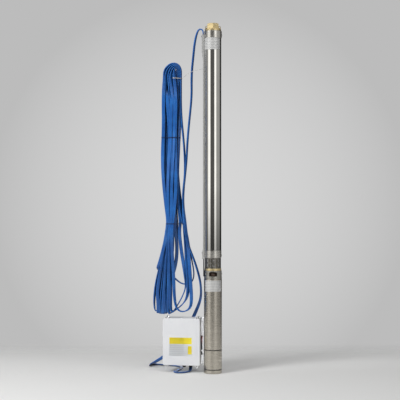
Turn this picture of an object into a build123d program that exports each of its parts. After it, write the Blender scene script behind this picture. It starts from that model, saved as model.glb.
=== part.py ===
from build123d import *
import os
from math import pi, radians, sqrt, tan

# Borehole submersible pump with its hank of flat cable and its wall control box.
# Millimetres. Origin on the pump axis at the base, +Z up along the shaft, front towards -Y.

# Clearances
seat_gap = 0.15  # radial, between fixed pieces that sit in each other
run_gap = 0.05  # radial, at a running journal
thrust_gap = 0.1  # axial, between thrust pads and runner
free_gap = 0.6  # around whatever turns or slides freely
touch_gap = 0.3  # between a soft piece and its neighbour

# Motor
motor_d = 76.0
motor_wall = 1.5
base_height = 19.0
lower_height = 83.0
shell_length = 300.0
groove_width = 3.6
groove_depth = 1.5
groove_chamfer = 1.2
base_wall = 4.0
cup_wall = 3.2
vent_d = 5.0
vent_count = 3
vent_circle_r = 18.0
spigot_length = 10.0
diaphragm_wall = 2.0
web_level = 50.0
web_thickness = 8.0
web_hole_r = 6.0
thrust_plate_thickness = 6.0
pad_thickness = 6.0
pad_count = 5
pad_inner_r = 11.0
pad_outer_r = 27.0
pad_angle = 56.0
runner_thickness = 8.0
carrier_level = 118.0
carrier_thickness = 16.0
stator_level = 158.0
stator_length = 168.0
stator_bore_r = 18.0
stator_slots = 12
slot_half_width = 2.2
slot_depth = 8.0
air_gap = 0.6
rotor_overhang = 4.0
winding_overhang = 20.0
winding_inner_r = 20.5
winding_outer_r = 33.0
motor_shaft_d = 16.0
shaft_end_d = 12.0
bush_wall = 3.0
bush_length = 20.0

# Motor bracket, between motor and pump
bracket_height = 34.0
bracket_spigot = 18.0
bracket_r = 37.2
bracket_band_low = 3.0
bracket_band_height = 5.0
bracket_wall = 4.2
bracket_floor = 9.0
window_width = 34.0
window_low = 10.0
window_height = 19.0
window_corner = 2.0
bracket_screw_angles = (-58.0, 86.0, 214.0)
seal_r = 12.5
seal_height = 5.0
slinger_r = 13.5
slinger_height = 3.0

# Suction end of the pump
flange_ring_height = 9.0
flange_ring_r = 35.4
strainer_height = 45.0
strainer_r = 34.2
strainer_wall = 0.9
strainer_columns = 20
strainer_slot_width = 2.6
strainer_slot_length = 15.0
strainer_slot_rows = 2
seam_width = 13.0
seam_thickness = 0.8
seam_azimuth = 3.0
seam_slot_length = 12.0
seam_slot_width = 4.6
rib_count = 4
rib_thickness = 5.0
rib_inner_r = 22.0
hub_bore_r = 20.0
collar_height = 31.0
collar_r = 36.1
collar_bore_r = 30.0
collar_lip_r = 26.0
collar_spigot = 20.0
collar_recess = 25.0
collar_screw_azimuth = 84.0
collar_screw_rise = 10.0

# Pump shell and stages
pump_d = 71.5
pump_wall = 1.5
pump_shell_length = 901.0
stage_count = 12
bowl_wall = 2.2
bowl_floor = 16.0
bowl_hub_r = 16.0
vane_count = 5
vane_thickness = 2.2
spider_height = 26.0
spider_leg_count = 4
impeller_hub_r = 11.0
impeller_eye_r = 20.0
impeller_rim_r = 29.5
impeller_height = 22.0
blade_count = 5
blade_thickness = 2.0
blade_twist = 35.0
shaft_hex = 12.0
shaft_end_room = 4.0
sleeve_d = 16.0
sleeve_length = 18.0
coupling_r = 12.0
coupling_length = 46.0

# Discharge head and check valve
head_ring_height = 30.0
head_ring_r = 37.5
head_ring_chamfer = 1.0
ring_screw_azimuth = 88.0
ring_screw_share = 0.4  # of the ring's height
head_flange_height = 7.0
head_flange_r = 34.6
hex_height = 26.0
hex_flats = 48.0
hex_chamfer = 4.0
outlet_r = 19.5  # tapping radius of a G 1 1/4 female thread
outlet_depth = 22.0
head_spigot = 46.0
water_way_r = 25.0
eye_pitch = 56.0
eye_hole_d = 6.0
eye_width = 10.0
eye_height = 15.0
eye_thickness = 5.0
seat_bore_r = 17.0
seat_height = 8.0
poppet_r = 20.5
poppet_thickness = 4.0
poppet_stem_r = 3.5
poppet_stem_length = 30.0
valve_lift = 9.0
guide_thickness = 4.0
guide_hub_r = 8.0
guide_arm_count = 3
guide_arm_width = 4.0

# Cable guard down the left side
cable_width = 15.0
cable_thickness = 5.0
guard_wall = 1.0
guard_side_play = 0.7
guard_low_overlap = 5.0
guard_top_overlap = 15.0
hood_length = 71.0
hood_taper = 36.0
hood_lift = 5.0
flap_lift = 3.2
guard_screw_drop = 7.0

# Small fasteners
screw_head_r = 3.2
screw_head_height = 1.8
screw_shank_r = 1.8
screw_head_round = 0.6  # share of the head's height

# Control box, turned so that its switch side faces the front a little
box_width = 162.0
box_height = 200.0
box_depth = 82.0
lid_depth = 24.0
box_wall = 3.0
box_corner = 7.0
lid_edge_radius = 2.5
box_turn = -10.0
box_front_x = -135.0
box_front_y = 10.0
box_level = 30.0
gasket_thickness = 1.6
ear_inset = 14.5
ear_rise = 3.0
ear_r = 5.6
ear_length = 22.0
lid_screw_r = 1.9
lid_screw_head_r = 3.3
lid_screw_head_height = 2.4
lid_screw_length = 32.0
lid_screw_sink = 0.4
wall_hole_pitch = 120.0
wall_hole_r = 2.5
bezel_width = 26.0
bezel_height = 62.0
bezel_thickness = 2.2
bezel_corner = 2.0
bezel_chamfer = 0.8
bezel_rise = -4.0  # middle of the bezel, from the middle of the box
switch_depth = 38.0
switch_body_depth = 24.0
rocker_width = 20.0
rocker_height = 27.0
rocker_proud = 4.2
rocker_angle = 9.0
rocker_pin_r = 1.5
rocker_pin_depth = 7.0
button_drop = 14.0  # under the lower edge of the bezel
button_r = 4.8
button_proud = 5.6
button_travel = 2.5
button_well = 10.0
button_round = 1.4
breaker_nut_r = 8.5
breaker_nut_height = 3.0
breaker_body = 26.0
breaker_neck_r = 6.2
capacitor_r = 20.0
capacitor_length = 92.0
capacitor_round = 2.0
capacitor_x = -34.0
capacitor_drop = 4.0  # under the middle of the box
clip_thickness = 1.6
clip_width = 14.0
clip_foot = 10.0
terminal_length = 70.0
terminal_height = 17.0
terminal_depth = 16.0
terminal_ways = 6
terminal_rise = 12.0
terminal_hole_r = 2.2
terminal_hole_depth = 5.0
gland_offsets = (33.0, 5.0)  # pump cable, mains inlet
gland_depth = 42.0
gland_hex = 19.0
gland_hex_height = 5.0
gland_body_r = 7.6
gland_drop = 12.0
gland_nut_hex = 21.0
gland_nut_height = 4.0
gland_chamfer = 2.0
side_screw_r = 2.6
side_screw_drop = 16.0  # under the top of the box
side_shank_r = 1.4
side_screw_depth = 44.0
side_screw_height = 1.2
side_screw_grip = 4.0

# Free cable: radius of the plain tube that stands for the flat section, and its routes
tube_r = sqrt(cable_width * cable_thickness / pi)
line_r = 0.8
bend_share = 0.45
floor_z = tube_r + 0.3

# Hank: height, left edge and right edge of each cross section, seen from the front
hank_y = 34.0
hank_depth = 34.0
hank_corner = 14.3
hank_sections = (
    (1326.0, -181.0, -151.0),
    (1306.0, -200.0, -139.0),
    (1262.0, -217.0, -130.0),
    (1170.0, -224.0, -131.0),
    (1090.0, -217.0, -137.0),
    (880.0, -221.0, -142.0),
    (735.0, -216.0, -130.0),
    (640.0, -203.0, -115.0),
    (540.0, -213.0, -98.0),
    (420.0, -244.0, -82.0),
    (318.0, -256.0, -89.0),
    (272.0, -250.0, -120.0),
    (248.0, -226.0, -176.0),
)
tie_levels = (1258.0, 1001.0, 633.0)
tie_height = 6.0
tie_wall = 1.6

# Levels that follow from the sizes above
motor_r = motor_d / 2
motor_bore_r = motor_r - motor_wall
shaft_r = motor_shaft_d / 2
lower_top = base_height + lower_height
motor_top = lower_top + shell_length
bracket_top = motor_top + bracket_height
ring_top = bracket_top + flange_ring_height
strainer_top = ring_top + strainer_height
collar_top = strainer_top + collar_height
shell_top = collar_top + pump_shell_length
head_ring_top = shell_top + head_ring_height
flange_top = head_ring_top + head_flange_height
outlet_top = flange_top + hex_height
pump_r = pump_d / 2
pump_bore_r = pump_r - pump_wall
stack_low = collar_top + collar_spigot
head_low = head_ring_top - head_spigot
spider_low = head_low - spider_height
stage_pitch = (spider_low - stack_low) / stage_count
sleeve_r = sleeve_d / 2
lead_x = -(collar_r + seat_gap + cable_thickness / 2)
lead_exit_x = -(pump_r + seat_gap + touch_gap + tube_r)
guard_top = shell_top + guard_top_overlap
guard_low = strainer_top - guard_low_overlap
bezel_level = box_height / 2 + bezel_rise
button_level = bezel_level - bezel_height / 2 - button_drop
side_screw_level = box_height - side_screw_drop
lid_seam_top = lid_depth + gasket_thickness

parts = {}


def turned(*profile):
    """Solid turned about the pump axis from radius and height pairs."""
    outline = Polyline(*[(radius, 0, height) for radius, height in profile], close=True)
    return revolve(make_face(outline.edges()), Axis.Z)


def ring(outer_r, inner_r, low, high):
    """Plain ring about the pump axis."""
    return turned((inner_r, low), (outer_r, low), (outer_r, high), (inner_r, high))


def disc(outer_r, low, high):
    """Plain round disc about the pump axis."""
    return Pos(0, 0, low) * post(outer_r, high - low)


def block(x_low, x_high, y_low, y_high, z_low, z_high):
    """Box between two corners."""
    size = Box(x_high - x_low, y_high - y_low, z_high - z_low)
    return Pos((x_low + x_high) / 2, (y_low + y_high) / 2, (z_low + z_high) / 2) * size


def post(radius, height, side=Align.MIN):
    """Upright cylinder that stands on the origin, or hangs from it with Align.MAX."""
    return Cylinder(radius, height, align=(Align.CENTER, Align.CENTER, side))


def round_head():
    """Pan head of a small screw, standing on the origin."""
    head = post(screw_head_r, screw_head_height)
    return fillet(head.faces().sort_by(Axis.Z)[-1].edges(), screw_head_height * screw_head_round)


def around(count, shape, start=0.0):
    """Copies of a shape, evenly turned about the pump axis."""
    return [Rot(0, 0, start + 360 * index / count) * shape for index in range(count)]


def radial_screw(surface_r, level, azimuth, depth=3.0):
    """Round-headed screw that enters a ring towards the axis, azimuth measured from the front."""
    screw = Pos(0, 0, surface_r) * (round_head() + post(screw_shank_r, depth, Align.MAX))
    return Pos(0, 0, level) * Rot(0, 0, azimuth) * Rot(90, 0, 0) * screw


def screw_hole(surface_r, level, azimuth, depth=3.0):
    """Hole that takes a radial screw, with its flat seat under the head."""
    shank = post(screw_shank_r + seat_gap, depth + seat_gap, Align.MAX)
    seat = post(screw_head_r + seat_gap, screw_head_height + 1)
    hole = Pos(0, 0, surface_r) * (shank + seat)
    return Pos(0, 0, level) * Rot(0, 0, azimuth) * Rot(90, 0, 0) * hole


def tube_route(name, points, radius):
    """Round tube along straight runs with tangent arcs, as large as the two runs of each corner allow."""
    corners = [Vector(*point) for point in points]
    radii = []
    for before, here, after in zip(corners, corners[1:], corners[2:]):
        run_in = here - before
        run_out = after - here
        half_turn = radians(run_in.get_angle(run_out)) / 2
        radii.append(bend_share * min(run_in.length, run_out.length) / tan(half_turn))
    path = FilletPolyline(*corners, radius=radii)
    start = Plane(origin=path @ 0, z_dir=path % 0)
    tube = sweep(start * Circle(radius), path=path)
    share = tube.volume / (pi * radius**2 * path.length)
    print(name, "length", round(path.length), "volume share", round(share, 4))
    print("  radii", [round(bend) for bend in radii])
    return tube


def build_motor_housing():
    """Base cover, lower housing, diaphragm and the shell of the wet motor."""
    spigot_r = motor_r - cup_wall - seat_gap
    cup_r = spigot_r - cup_wall
    neck_r = motor_r - groove_depth
    base = turned(
        (0, 0),
        (motor_r - 1.5, 0),
        (motor_r, 1.5),
        (motor_r, base_height - groove_width - groove_chamfer),
        (motor_r - groove_chamfer, base_height - groove_width),
        (neck_r, base_height - groove_width),
        (neck_r, base_height),
        (spigot_r, base_height),
        (spigot_r, base_height + spigot_length - diaphragm_wall),
        (cup_r, base_height + spigot_length - diaphragm_wall),
        (cup_r, base_wall),
        (0, base_wall),
    )
    vent = Pos(vent_circle_r, 0, 0) * Cylinder(vent_d / 2, 3 * base_wall)
    parts["base_cover"] = base - Compound(around(vent_count, vent))
    step = base_height + spigot_length
    inner_r = cup_r - 1.5
    bore_r = spigot_r + seat_gap
    chamber_r = motor_bore_r - seat_gap - 2.5
    plug_r = motor_bore_r - seat_gap
    parts["lower_housing"] = turned(
        (bore_r, base_height),
        (motor_r, base_height),
        (motor_r, lower_top - groove_width - groove_chamfer),
        (motor_r - groove_chamfer, lower_top - groove_width),
        (neck_r, lower_top - groove_width),
        (neck_r, lower_top),
        (plug_r, lower_top),
        (plug_r, carrier_level),
        (chamber_r, carrier_level),
        (chamber_r, web_level + web_thickness),
        (web_hole_r, web_level + web_thickness),
        (web_hole_r, web_level),
        (inner_r, web_level),
        (inner_r, step),
        (bore_r, step),
    )
    rim_low = step - diaphragm_wall
    crown = web_level - 5
    parts["pressure_diaphragm"] = turned(
        (0, crown),
        (18, crown),
        (24, step),
        (bore_r - seat_gap, step),
        (bore_r - seat_gap, rim_low),
        (22.6, rim_low),
        (16.6, crown - diaphragm_wall),
        (0, crown - diaphragm_wall),
    )
    parts["motor_shell"] = ring(motor_r, motor_bore_r, lower_top, motor_top)
    return chamber_r


def build_motor_inside(chamber_r):
    """Thrust bearing, journal bushes, stator, rotor and shaft."""
    plate_low = web_level + web_thickness
    plate_top = plate_low + thrust_plate_thickness
    pad_top = plate_top + pad_thickness
    runner_low = pad_top + thrust_gap
    runner_top = runner_low + runner_thickness
    parts["thrust_plate"] = ring(chamber_r - seat_gap, shaft_r, plate_low, plate_top)
    pad = ring(pad_outer_r, pad_inner_r, plate_top, pad_top)
    reach = 2 * pad_outer_r
    wedge = Polyline(
        (0, 0),
        (reach, -reach * tan(radians(pad_angle / 2))),
        (reach, reach * tan(radians(pad_angle / 2))),
        close=True,
    )
    pad = pad & extrude(Pos(0, 0, plate_top) * make_face(wedge.edges()), pad_thickness)
    parts["thrust_pads"] = around(pad_count, pad)
    bush_r = shaft_r + run_gap + bush_wall
    shaft_low = runner_low
    shoulder = motor_top + bracket_height - 2
    parts["thrust_runner"] = ring(pad_outer_r + 1, shaft_r + seat_gap, runner_low, runner_top)
    parts["bearing_carrier"] = turned(
        (bush_r + seat_gap, carrier_level),
        (motor_bore_r - seat_gap, carrier_level),
        (motor_bore_r - seat_gap, carrier_level + 8),
        (bush_r + 5, carrier_level + carrier_thickness),
        (bush_r + seat_gap, carrier_level + carrier_thickness),
    )
    bush = ring(bush_r, shaft_r + run_gap, 0, bush_length)
    parts["lower_bush"] = Pos(0, 0, carrier_level - 2) * bush
    parts["upper_bush"] = Pos(0, 0, motor_top - bush_length + 4) * bush
    stator_top = stator_level + stator_length
    stator = ring(motor_bore_r - seat_gap, stator_bore_r, stator_level, stator_top)
    slot = block(
        stator_bore_r + 2,
        stator_bore_r + 2 + slot_depth,
        -slot_half_width,
        slot_half_width,
        stator_level - 1,
        stator_top + 1,
    )
    parts["stator_core"] = stator - Compound(around(stator_slots, slot))
    middle_r = (winding_inner_r + winding_outer_r) / 2
    end_turn = turned(
        (winding_inner_r, 0),
        (winding_outer_r, 0),
        (winding_outer_r, winding_overhang * 0.6),
        (middle_r + 2, winding_overhang),
        (middle_r - 2, winding_overhang),
        (winding_inner_r, winding_overhang * 0.6),
    )
    upper_turn = Pos(0, 0, stator_top) * end_turn
    lower_turn = Pos(0, 0, stator_level) * Rot(180, 0, 0) * end_turn
    parts["stator_windings"] = [lower_turn, upper_turn]
    rotor_r = stator_bore_r - air_gap
    rotor_low = stator_level - rotor_overhang
    rotor_top = stator_top + rotor_overhang
    parts["rotor_core"] = ring(rotor_r, shaft_r + seat_gap, rotor_low, rotor_top)
    end_r = shaft_end_d / 2
    coupling_low = bracket_top - 8
    parts["motor_shaft"] = turned(
        (0, shaft_low),
        (shaft_r, shaft_low),
        (shaft_r, shoulder - 6),
        (end_r, shoulder - 6),
        (end_r, coupling_low + coupling_length / 2 - 1),
        (0, coupling_low + coupling_length / 2 - 1),
    )
    return bush_r, end_r, coupling_low


def build_motor_bracket(bush_r):
    """Bracket with its windows, shaft seal, sand slinger and the lead plug."""
    low = motor_top - bracket_spigot
    floor_top = motor_top + bracket_floor
    hub_r = bush_r + 6
    band_low = motor_top + bracket_band_low
    band_top = band_low + bracket_band_height
    plug_r = motor_bore_r - seat_gap
    bracket = turned(
        (bush_r + seat_gap, low),
        (hub_r, low),
        (hub_r, motor_top - 4),
        (plug_r - 3, motor_top - 4),
        (plug_r - 3, low),
        (plug_r, low),
        (plug_r, motor_top),
        (bracket_r, motor_top),
        (bracket_r, band_low),
        (motor_r, band_low),
        (motor_r, band_top),
        (bracket_r, band_top),
        (bracket_r, bracket_top),
        (bracket_r - bracket_wall, bracket_top),
        (bracket_r - bracket_wall, floor_top),
        (seal_r + seat_gap, floor_top),
        (seal_r + seat_gap, floor_top - seal_height),
        (bush_r + seat_gap, floor_top - seal_height),
    )
    window_mid = motor_top + window_low + window_height / 2
    face = Plane((0, 0, window_mid), x_dir=(1, 0, 0), z_dir=(0, -1, 0))
    opening = face * RectangleRounded(window_width, window_height, window_corner)
    bracket -= extrude(opening, 2 * motor_r, both=True)
    notch_side = cable_width / 2 + guard_side_play
    notch_x = lead_x + cable_thickness / 2 + touch_gap
    bracket -= block(-2 * motor_r, notch_x, -notch_side, notch_side, floor_top, bracket_top + 1)
    screw_level = window_mid
    for azimuth in bracket_screw_angles:
        bracket -= screw_hole(bracket_r, screw_level, azimuth)
    parts["motor_bracket"] = bracket
    parts["shaft_seal"] = ring(seal_r, shaft_r + free_gap, floor_top - seal_height, floor_top)
    slinger_low = floor_top + free_gap
    parts["sand_slinger"] = turned(
        (shaft_r + seat_gap, slinger_low),
        (slinger_r, slinger_low),
        (slinger_r - 2, slinger_low + slinger_height),
        (shaft_r + seat_gap, slinger_low + slinger_height),
    )
    plug_top = bracket_top + 2
    plug_body = block(
        lead_x - cable_thickness / 2,
        lead_x + cable_thickness / 2,
        -cable_width / 2,
        cable_width / 2,
        floor_top,
        plug_top,
    )
    parts["lead_plug"] = fillet(plug_body.edges().filter_by(Axis.Z), 1.2)
    screws = [radial_screw(bracket_r, screw_level, azimuth) for azimuth in bracket_screw_angles]
    return plug_top, screws


def build_coupling(end_r, coupling_low):
    """Coupling and hexagonal pump shaft, with the sleeve that runs in the top bearing."""
    coupling_mid = coupling_low + coupling_length / 2
    coupling_top = coupling_low + coupling_length
    hex_r = shaft_hex / 2
    shaft_top = head_low - shaft_end_room
    blank = turned(
        (end_r + seat_gap, coupling_low),
        (coupling_r, coupling_low),
        (coupling_r, coupling_top - 2),
        (coupling_r - 2, coupling_top),
        (0, coupling_top),
        (0, coupling_mid),
        (end_r + seat_gap, coupling_mid),
    )
    socket = RegularPolygon(hex_r + seat_gap, 6, major_radius=False)
    parts["coupling"] = blank - extrude(Pos(0, 0, coupling_mid) * socket, coupling_length)
    bar = RegularPolygon(hex_r, 6, major_radius=False)
    parts["pump_shaft"] = extrude(Pos(0, 0, coupling_mid) * bar, shaft_top - coupling_mid)


def build_suction():
    """Suction bracket with its ribs, collar, strainer and seam plate."""
    spigot_r = collar_bore_r - seat_gap
    pocket_top = strainer_top + collar_recess
    bracket = ring(flange_ring_r, hub_bore_r, bracket_top, ring_top)
    lip = ring(bracket_r - bracket_wall - seat_gap, hub_bore_r, bracket_top - 3, bracket_top)
    rib = block(rib_inner_r, spigot_r, -rib_thickness / 2, rib_thickness / 2, ring_top, strainer_top + 6)
    top = ring(spigot_r, rib_inner_r, strainer_top, pocket_top)
    bracket = bracket + lip + Compound(around(rib_count, rib, 45)) + top
    notch_side = cable_width / 2 + guard_side_play
    notch_x = lead_x + cable_thickness / 2 + touch_gap
    bracket -= block(-2 * motor_r, notch_x, -notch_side, notch_side, bracket_top - 4, ring_top + 1)
    parts["suction_bracket"] = bracket
    collar = turned(
        (spigot_r + seat_gap, strainer_top),
        (collar_r - 1, strainer_top),
        (collar_r, strainer_top + 1),
        (collar_r, collar_top),
        (pump_bore_r - seat_gap, collar_top),
        (pump_bore_r - seat_gap, stack_low),
        (collar_lip_r, stack_low),
        (collar_lip_r, pocket_top),
        (spigot_r + seat_gap, pocket_top),
    )
    collar_screw_level = strainer_top + collar_screw_rise
    collar -= screw_hole(collar_r, collar_screw_level, collar_screw_azimuth)
    parts["suction_collar"] = collar
    sheet = ring(strainer_r, strainer_r - strainer_wall, ring_top, strainer_top)
    slot_side = strainer_slot_width / 2
    slot = block(strainer_r - 3, strainer_r + 2, -slot_side, slot_side, 0, strainer_slot_length)
    gap = (strainer_height - strainer_slot_rows * strainer_slot_length) / (strainer_slot_rows + 1)
    slots = []
    for row in range(strainer_slot_rows):
        level = ring_top + gap + row * (strainer_slot_length + gap)
        slots += around(strainer_columns, Pos(0, 0, level) * slot, 180 / strainer_columns)
    parts["inlet_strainer"] = sheet - Compound(slots)
    seam_r = strainer_r + seat_gap
    band = ring(seam_r + seam_thickness, seam_r, ring_top + 1, strainer_top - 1)
    cut = block(-seam_width / 2, seam_width / 2, -2 * seam_r, 0, ring_top, strainer_top)
    middle = (ring_top + strainer_top) / 2
    slot_face = Plane((0, 0, middle), x_dir=(0, 0, 1), z_dir=(0, -1, 0))
    slot_cut = extrude(slot_face * SlotOverall(seam_slot_length, seam_slot_width), 2 * seam_r)
    seam = (band & cut) - slot_cut
    screw_levels = (middle - seam_slot_length, middle + seam_slot_length)
    for level in screw_levels:
        seam -= screw_hole(seam_r + seam_thickness, level, 0)
    parts["strainer_seam"] = Rot(0, 0, seam_azimuth) * seam
    parts["seam_rivets"] = [
        radial_screw(seam_r + seam_thickness, level, seam_azimuth, seam_thickness + seat_gap)
        for level in screw_levels
    ]
    return radial_screw(collar_r, collar_screw_level, collar_screw_azimuth)


def build_stages():
    """Pump shell, bowls with guide vanes, impellers, sleeves and the top bearing spider."""
    parts["pump_shell"] = ring(pump_r, pump_bore_r, collar_top, head_ring_top)
    bowl_r = pump_bore_r - seat_gap
    inner_r = bowl_r - bowl_wall
    sleeve_bore = sleeve_r + free_gap
    wall = ring(bowl_r, inner_r, 0, stage_pitch)
    hub = turned(
        (sleeve_bore, 0),
        (bowl_hub_r - 3, 0),
        (bowl_hub_r, bowl_floor),
        (sleeve_bore, bowl_floor),
    )
    vane = block(bowl_hub_r - 3, inner_r + 0.5, -vane_thickness / 2, vane_thickness / 2, 2, bowl_floor - 1)
    vane = Rot(30, 0, 0) * Pos(0, 0, -bowl_floor / 2) * vane
    vane = Pos(0, 0, bowl_floor / 2) * vane
    keep = ring(bowl_r - 0.5, sleeve_bore + 2, 1, bowl_floor)
    bowl = wall + hub + Compound([blade & keep for blade in around(vane_count, vane)])
    bar = extrude(RegularPolygon(shaft_hex / 2 + seat_gap, 6, major_radius=False), stage_pitch)
    disc_low = bowl_floor + free_gap + 3
    cone = turned(
        (0, 0),
        (impeller_hub_r, 0),
        (impeller_rim_r - 5, impeller_height),
        (impeller_rim_r - 5, impeller_height + 2),
        (0, impeller_height + 2),
    )
    envelope = turned(
        (0, 1),
        (impeller_eye_r, 1),
        (impeller_rim_r, impeller_height - 4),
        (impeller_rim_r, impeller_height + 2),
        (0, impeller_height + 2),
    )
    blade_side = blade_thickness / 2
    blade = block(impeller_hub_r - 4, impeller_rim_r + 4, -blade_side, blade_side, -4, impeller_height + 6)
    blade = Rot(blade_twist, 0, 0) * blade
    wheel = cone + Compound([one & envelope for one in around(blade_count, blade)]) - bar
    sleeve = ring(sleeve_r, 0, 0, sleeve_length) - bar
    levels = [stack_low + index * stage_pitch for index in range(stage_count)]
    parts["diffuser_bowls"] = [Pos(0, 0, level) * bowl for level in levels]
    parts["impellers"] = [Pos(0, 0, level + disc_low) * wheel for level in levels]
    parts["shaft_sleeves"] = [Pos(0, 0, level) * sleeve for level in levels + [spider_low + 3]]
    spider_ring = ring(bowl_r, inner_r, spider_low, head_low)
    bush_r = sleeve_r + run_gap + bush_wall
    spider_hub = ring(bush_r + 5, bush_r + seat_gap, spider_low + 4, head_low - 4)
    leg = block(bush_r + 4, inner_r + 0.5, -2, 2, spider_low + 6, head_low - 6)
    parts["bearing_spider"] = spider_ring + spider_hub + Compound(around(spider_leg_count, leg, 45))
    parts["spider_bush"] = ring(bush_r, sleeve_r + run_gap, spider_low + 4, head_low - 4)


def build_head():
    """Head ring, brass discharge head with its rope eyes, and the check valve in it."""
    collar = ring(head_ring_r, pump_r + seat_gap, shell_top, head_ring_top)
    top_edges = collar.edges().filter_by(GeomType.CIRCLE).group_by(Axis.Z)[-1]
    collar = chamfer(top_edges.sort_by(SortBy.RADIUS)[-1], head_ring_chamfer)
    notch_side = cable_width / 2 + guard_wall + guard_side_play + seat_gap
    collar -= block(-2 * head_ring_r, 0, -notch_side, notch_side, shell_top - 1, head_ring_top + 1)
    screw_level = shell_top + ring_screw_share * head_ring_height
    screw_depth = head_ring_r - pump_r - seat_gap
    collar -= screw_hole(head_ring_r, screw_level, ring_screw_azimuth, screw_depth)
    parts["head_ring"] = collar
    spigot_r = pump_bore_r - seat_gap
    shoulder = outlet_top - outlet_depth
    head = turned(
        (0, head_low),
        (spigot_r, head_low),
        (spigot_r, head_ring_top),
        (head_flange_r, head_ring_top),
        (head_flange_r, flange_top),
        (0, flange_top),
    )
    water_way = turned(
        (0, head_low),
        (water_way_r, head_low),
        (water_way_r, shoulder - 8),
        (outlet_r, shoulder),
        (outlet_r, outlet_top),
        (0, outlet_top),
    )
    hex_outline = RegularPolygon(hex_flats / 2, 6, major_radius=False, rotation=30)
    hexagon = extrude(Pos(0, 0, flange_top) * hex_outline, hex_height)
    corner_r = hex_flats / sqrt(3)
    top_cone = turned(
        (0, flange_top),
        (corner_r + 1, flange_top),
        (corner_r + 1, outlet_top - hex_chamfer),
        (corner_r + 1 - 2 * hex_chamfer, outlet_top),
        (0, outlet_top),
    )
    head += hexagon & top_cone
    eye_plane = Plane((0, 0, 0), x_dir=(1, 0, 0), z_dir=(0, -1, 0))
    hole_level = flange_top + eye_height - eye_width / 2
    tab_foot = Pos(0, (flange_top - hole_level) / 2) * Rectangle(eye_width, hole_level - flange_top)
    tab = Circle(eye_width / 2) + tab_foot
    hole = Circle(eye_hole_d / 2)
    for side in (-1, 1):
        place = eye_plane * Pos(side * eye_pitch / 2, hole_level)
        head += extrude(place * tab, eye_thickness / 2, both=True)
        head -= extrude(place * hole, eye_thickness, both=True)
    parts["discharge_head"] = head - water_way
    seat_low = head_low + 2
    seat_top = seat_low + seat_height
    parts["valve_seat"] = turned(
        (seat_bore_r, seat_low),
        (water_way_r - seat_gap, seat_low),
        (water_way_r - seat_gap, seat_top),
        (seat_bore_r + 3, seat_top),
        (seat_bore_r, seat_top - 3),
    )
    poppet_low = seat_top + thrust_gap
    parts["valve_poppet"] = turned(
        (0, poppet_low - 2),
        (seat_bore_r - 1.5, poppet_low - 2),
        (seat_bore_r - 0.5, poppet_low),
        (poppet_r, poppet_low),
        (poppet_r, poppet_low + poppet_thickness),
        (poppet_stem_r + 3, poppet_low + poppet_thickness),
        (poppet_stem_r, poppet_low + poppet_thickness + 3),
        (poppet_stem_r, poppet_low + poppet_stem_length),
        (0, poppet_low + poppet_stem_length),
    )
    guide_low = poppet_low + poppet_thickness + valve_lift + 4
    guide_hub = ring(guide_hub_r, poppet_stem_r + run_gap, guide_low, guide_low + 2 * guide_thickness)
    rim = ring(water_way_r - seat_gap, water_way_r - 3, guide_low, guide_low + guide_thickness)
    arm_side = guide_arm_width / 2
    arm_top = guide_low + guide_thickness
    arm = block(guide_hub_r - 1, water_way_r - 2, -arm_side, arm_side, guide_low, arm_top)
    parts["valve_guide"] = guide_hub + rim + Compound(around(guide_arm_count, arm))
    return radial_screw(head_ring_r, screw_level, ring_screw_azimuth, screw_depth)


def build_guard(plug_top):
    """Sheet-metal cable guard with its flared hood, the lead under it, and the guard screws."""
    back_x = lead_x - cable_thickness / 2 - touch_gap
    side = cable_width / 2 + guard_side_play

    def side_view(grow):
        face_x = back_x - grow
        return Polyline(
            (-hub_bore_r, guard_low),
            (face_x - flap_lift, guard_low),
            (face_x - flap_lift, collar_top - 4),
            (face_x, collar_top + 8),
            (face_x, guard_top - hood_length - hood_taper),
            (face_x - hood_lift, guard_top - hood_length),
            (face_x - hood_lift, guard_top),
            (-hub_bore_r, guard_top),
            close=True,
        )

    plane = Plane.XZ
    outer = extrude(plane * make_face(side_view(guard_wall).edges()), side + guard_wall, both=True)
    inner_view = make_face(side_view(0).edges())
    inner = extrude(plane * inner_view, side, both=True)
    guard = outer - inner - disc(pump_r + seat_gap, collar_top, guard_top + 1)
    guard -= disc(collar_r + seat_gap, guard_low - 1, collar_top)
    guard -= block(-2 * motor_r, 2 * motor_r, -side, side, guard_top - 0.2, guard_top + 1)
    parts["cable_guard"] = guard
    screws = []
    screw_places = (
        (collar_top - guard_screw_drop - 4, flap_lift),
        (guard_top - guard_screw_drop, hood_lift),
    )
    for level, lift in screw_places:
        screws.append(Pos(back_x - guard_wall - lift, 0, level) * Rot(0, -90, 0) * round_head())
    parts["guard_screws"] = screws
    lead = block(
        lead_x - cable_thickness / 2,
        lead_x + cable_thickness / 2,
        -cable_width / 2,
        cable_width / 2,
        plug_top,
        guard_top,
    )
    parts["motor_lead"] = fillet(lead.edges().filter_by(Axis.Z), cable_thickness * 0.45)


def slab(width, height, corner, front, back):
    """Plate with rounded corners, parallel to the front of the control box."""
    middle = Plane((0, front, box_height / 2), x_dir=(1, 0, 0), z_dir=(0, 1, 0))
    return extrude(middle * RectangleRounded(width, height, corner), back - front)


def along_depth(radius, x, z, front, back):
    """Round bar or hole from front to back of the control box."""
    middle = Plane((x, front, z), x_dir=(1, 0, 0), z_dir=(0, 1, 0))
    return extrude(middle * Circle(radius), back - front)


def from_side(sketch, level, depth, start, end):
    """Sketch extruded along the width of the control box, both ends counted from its switch side."""
    side = Plane((box_width / 2 + start, depth, level), x_dir=(0, 1, 0), z_dir=(1, 0, 0))
    return extrude(side * sketch, end - start)


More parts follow.
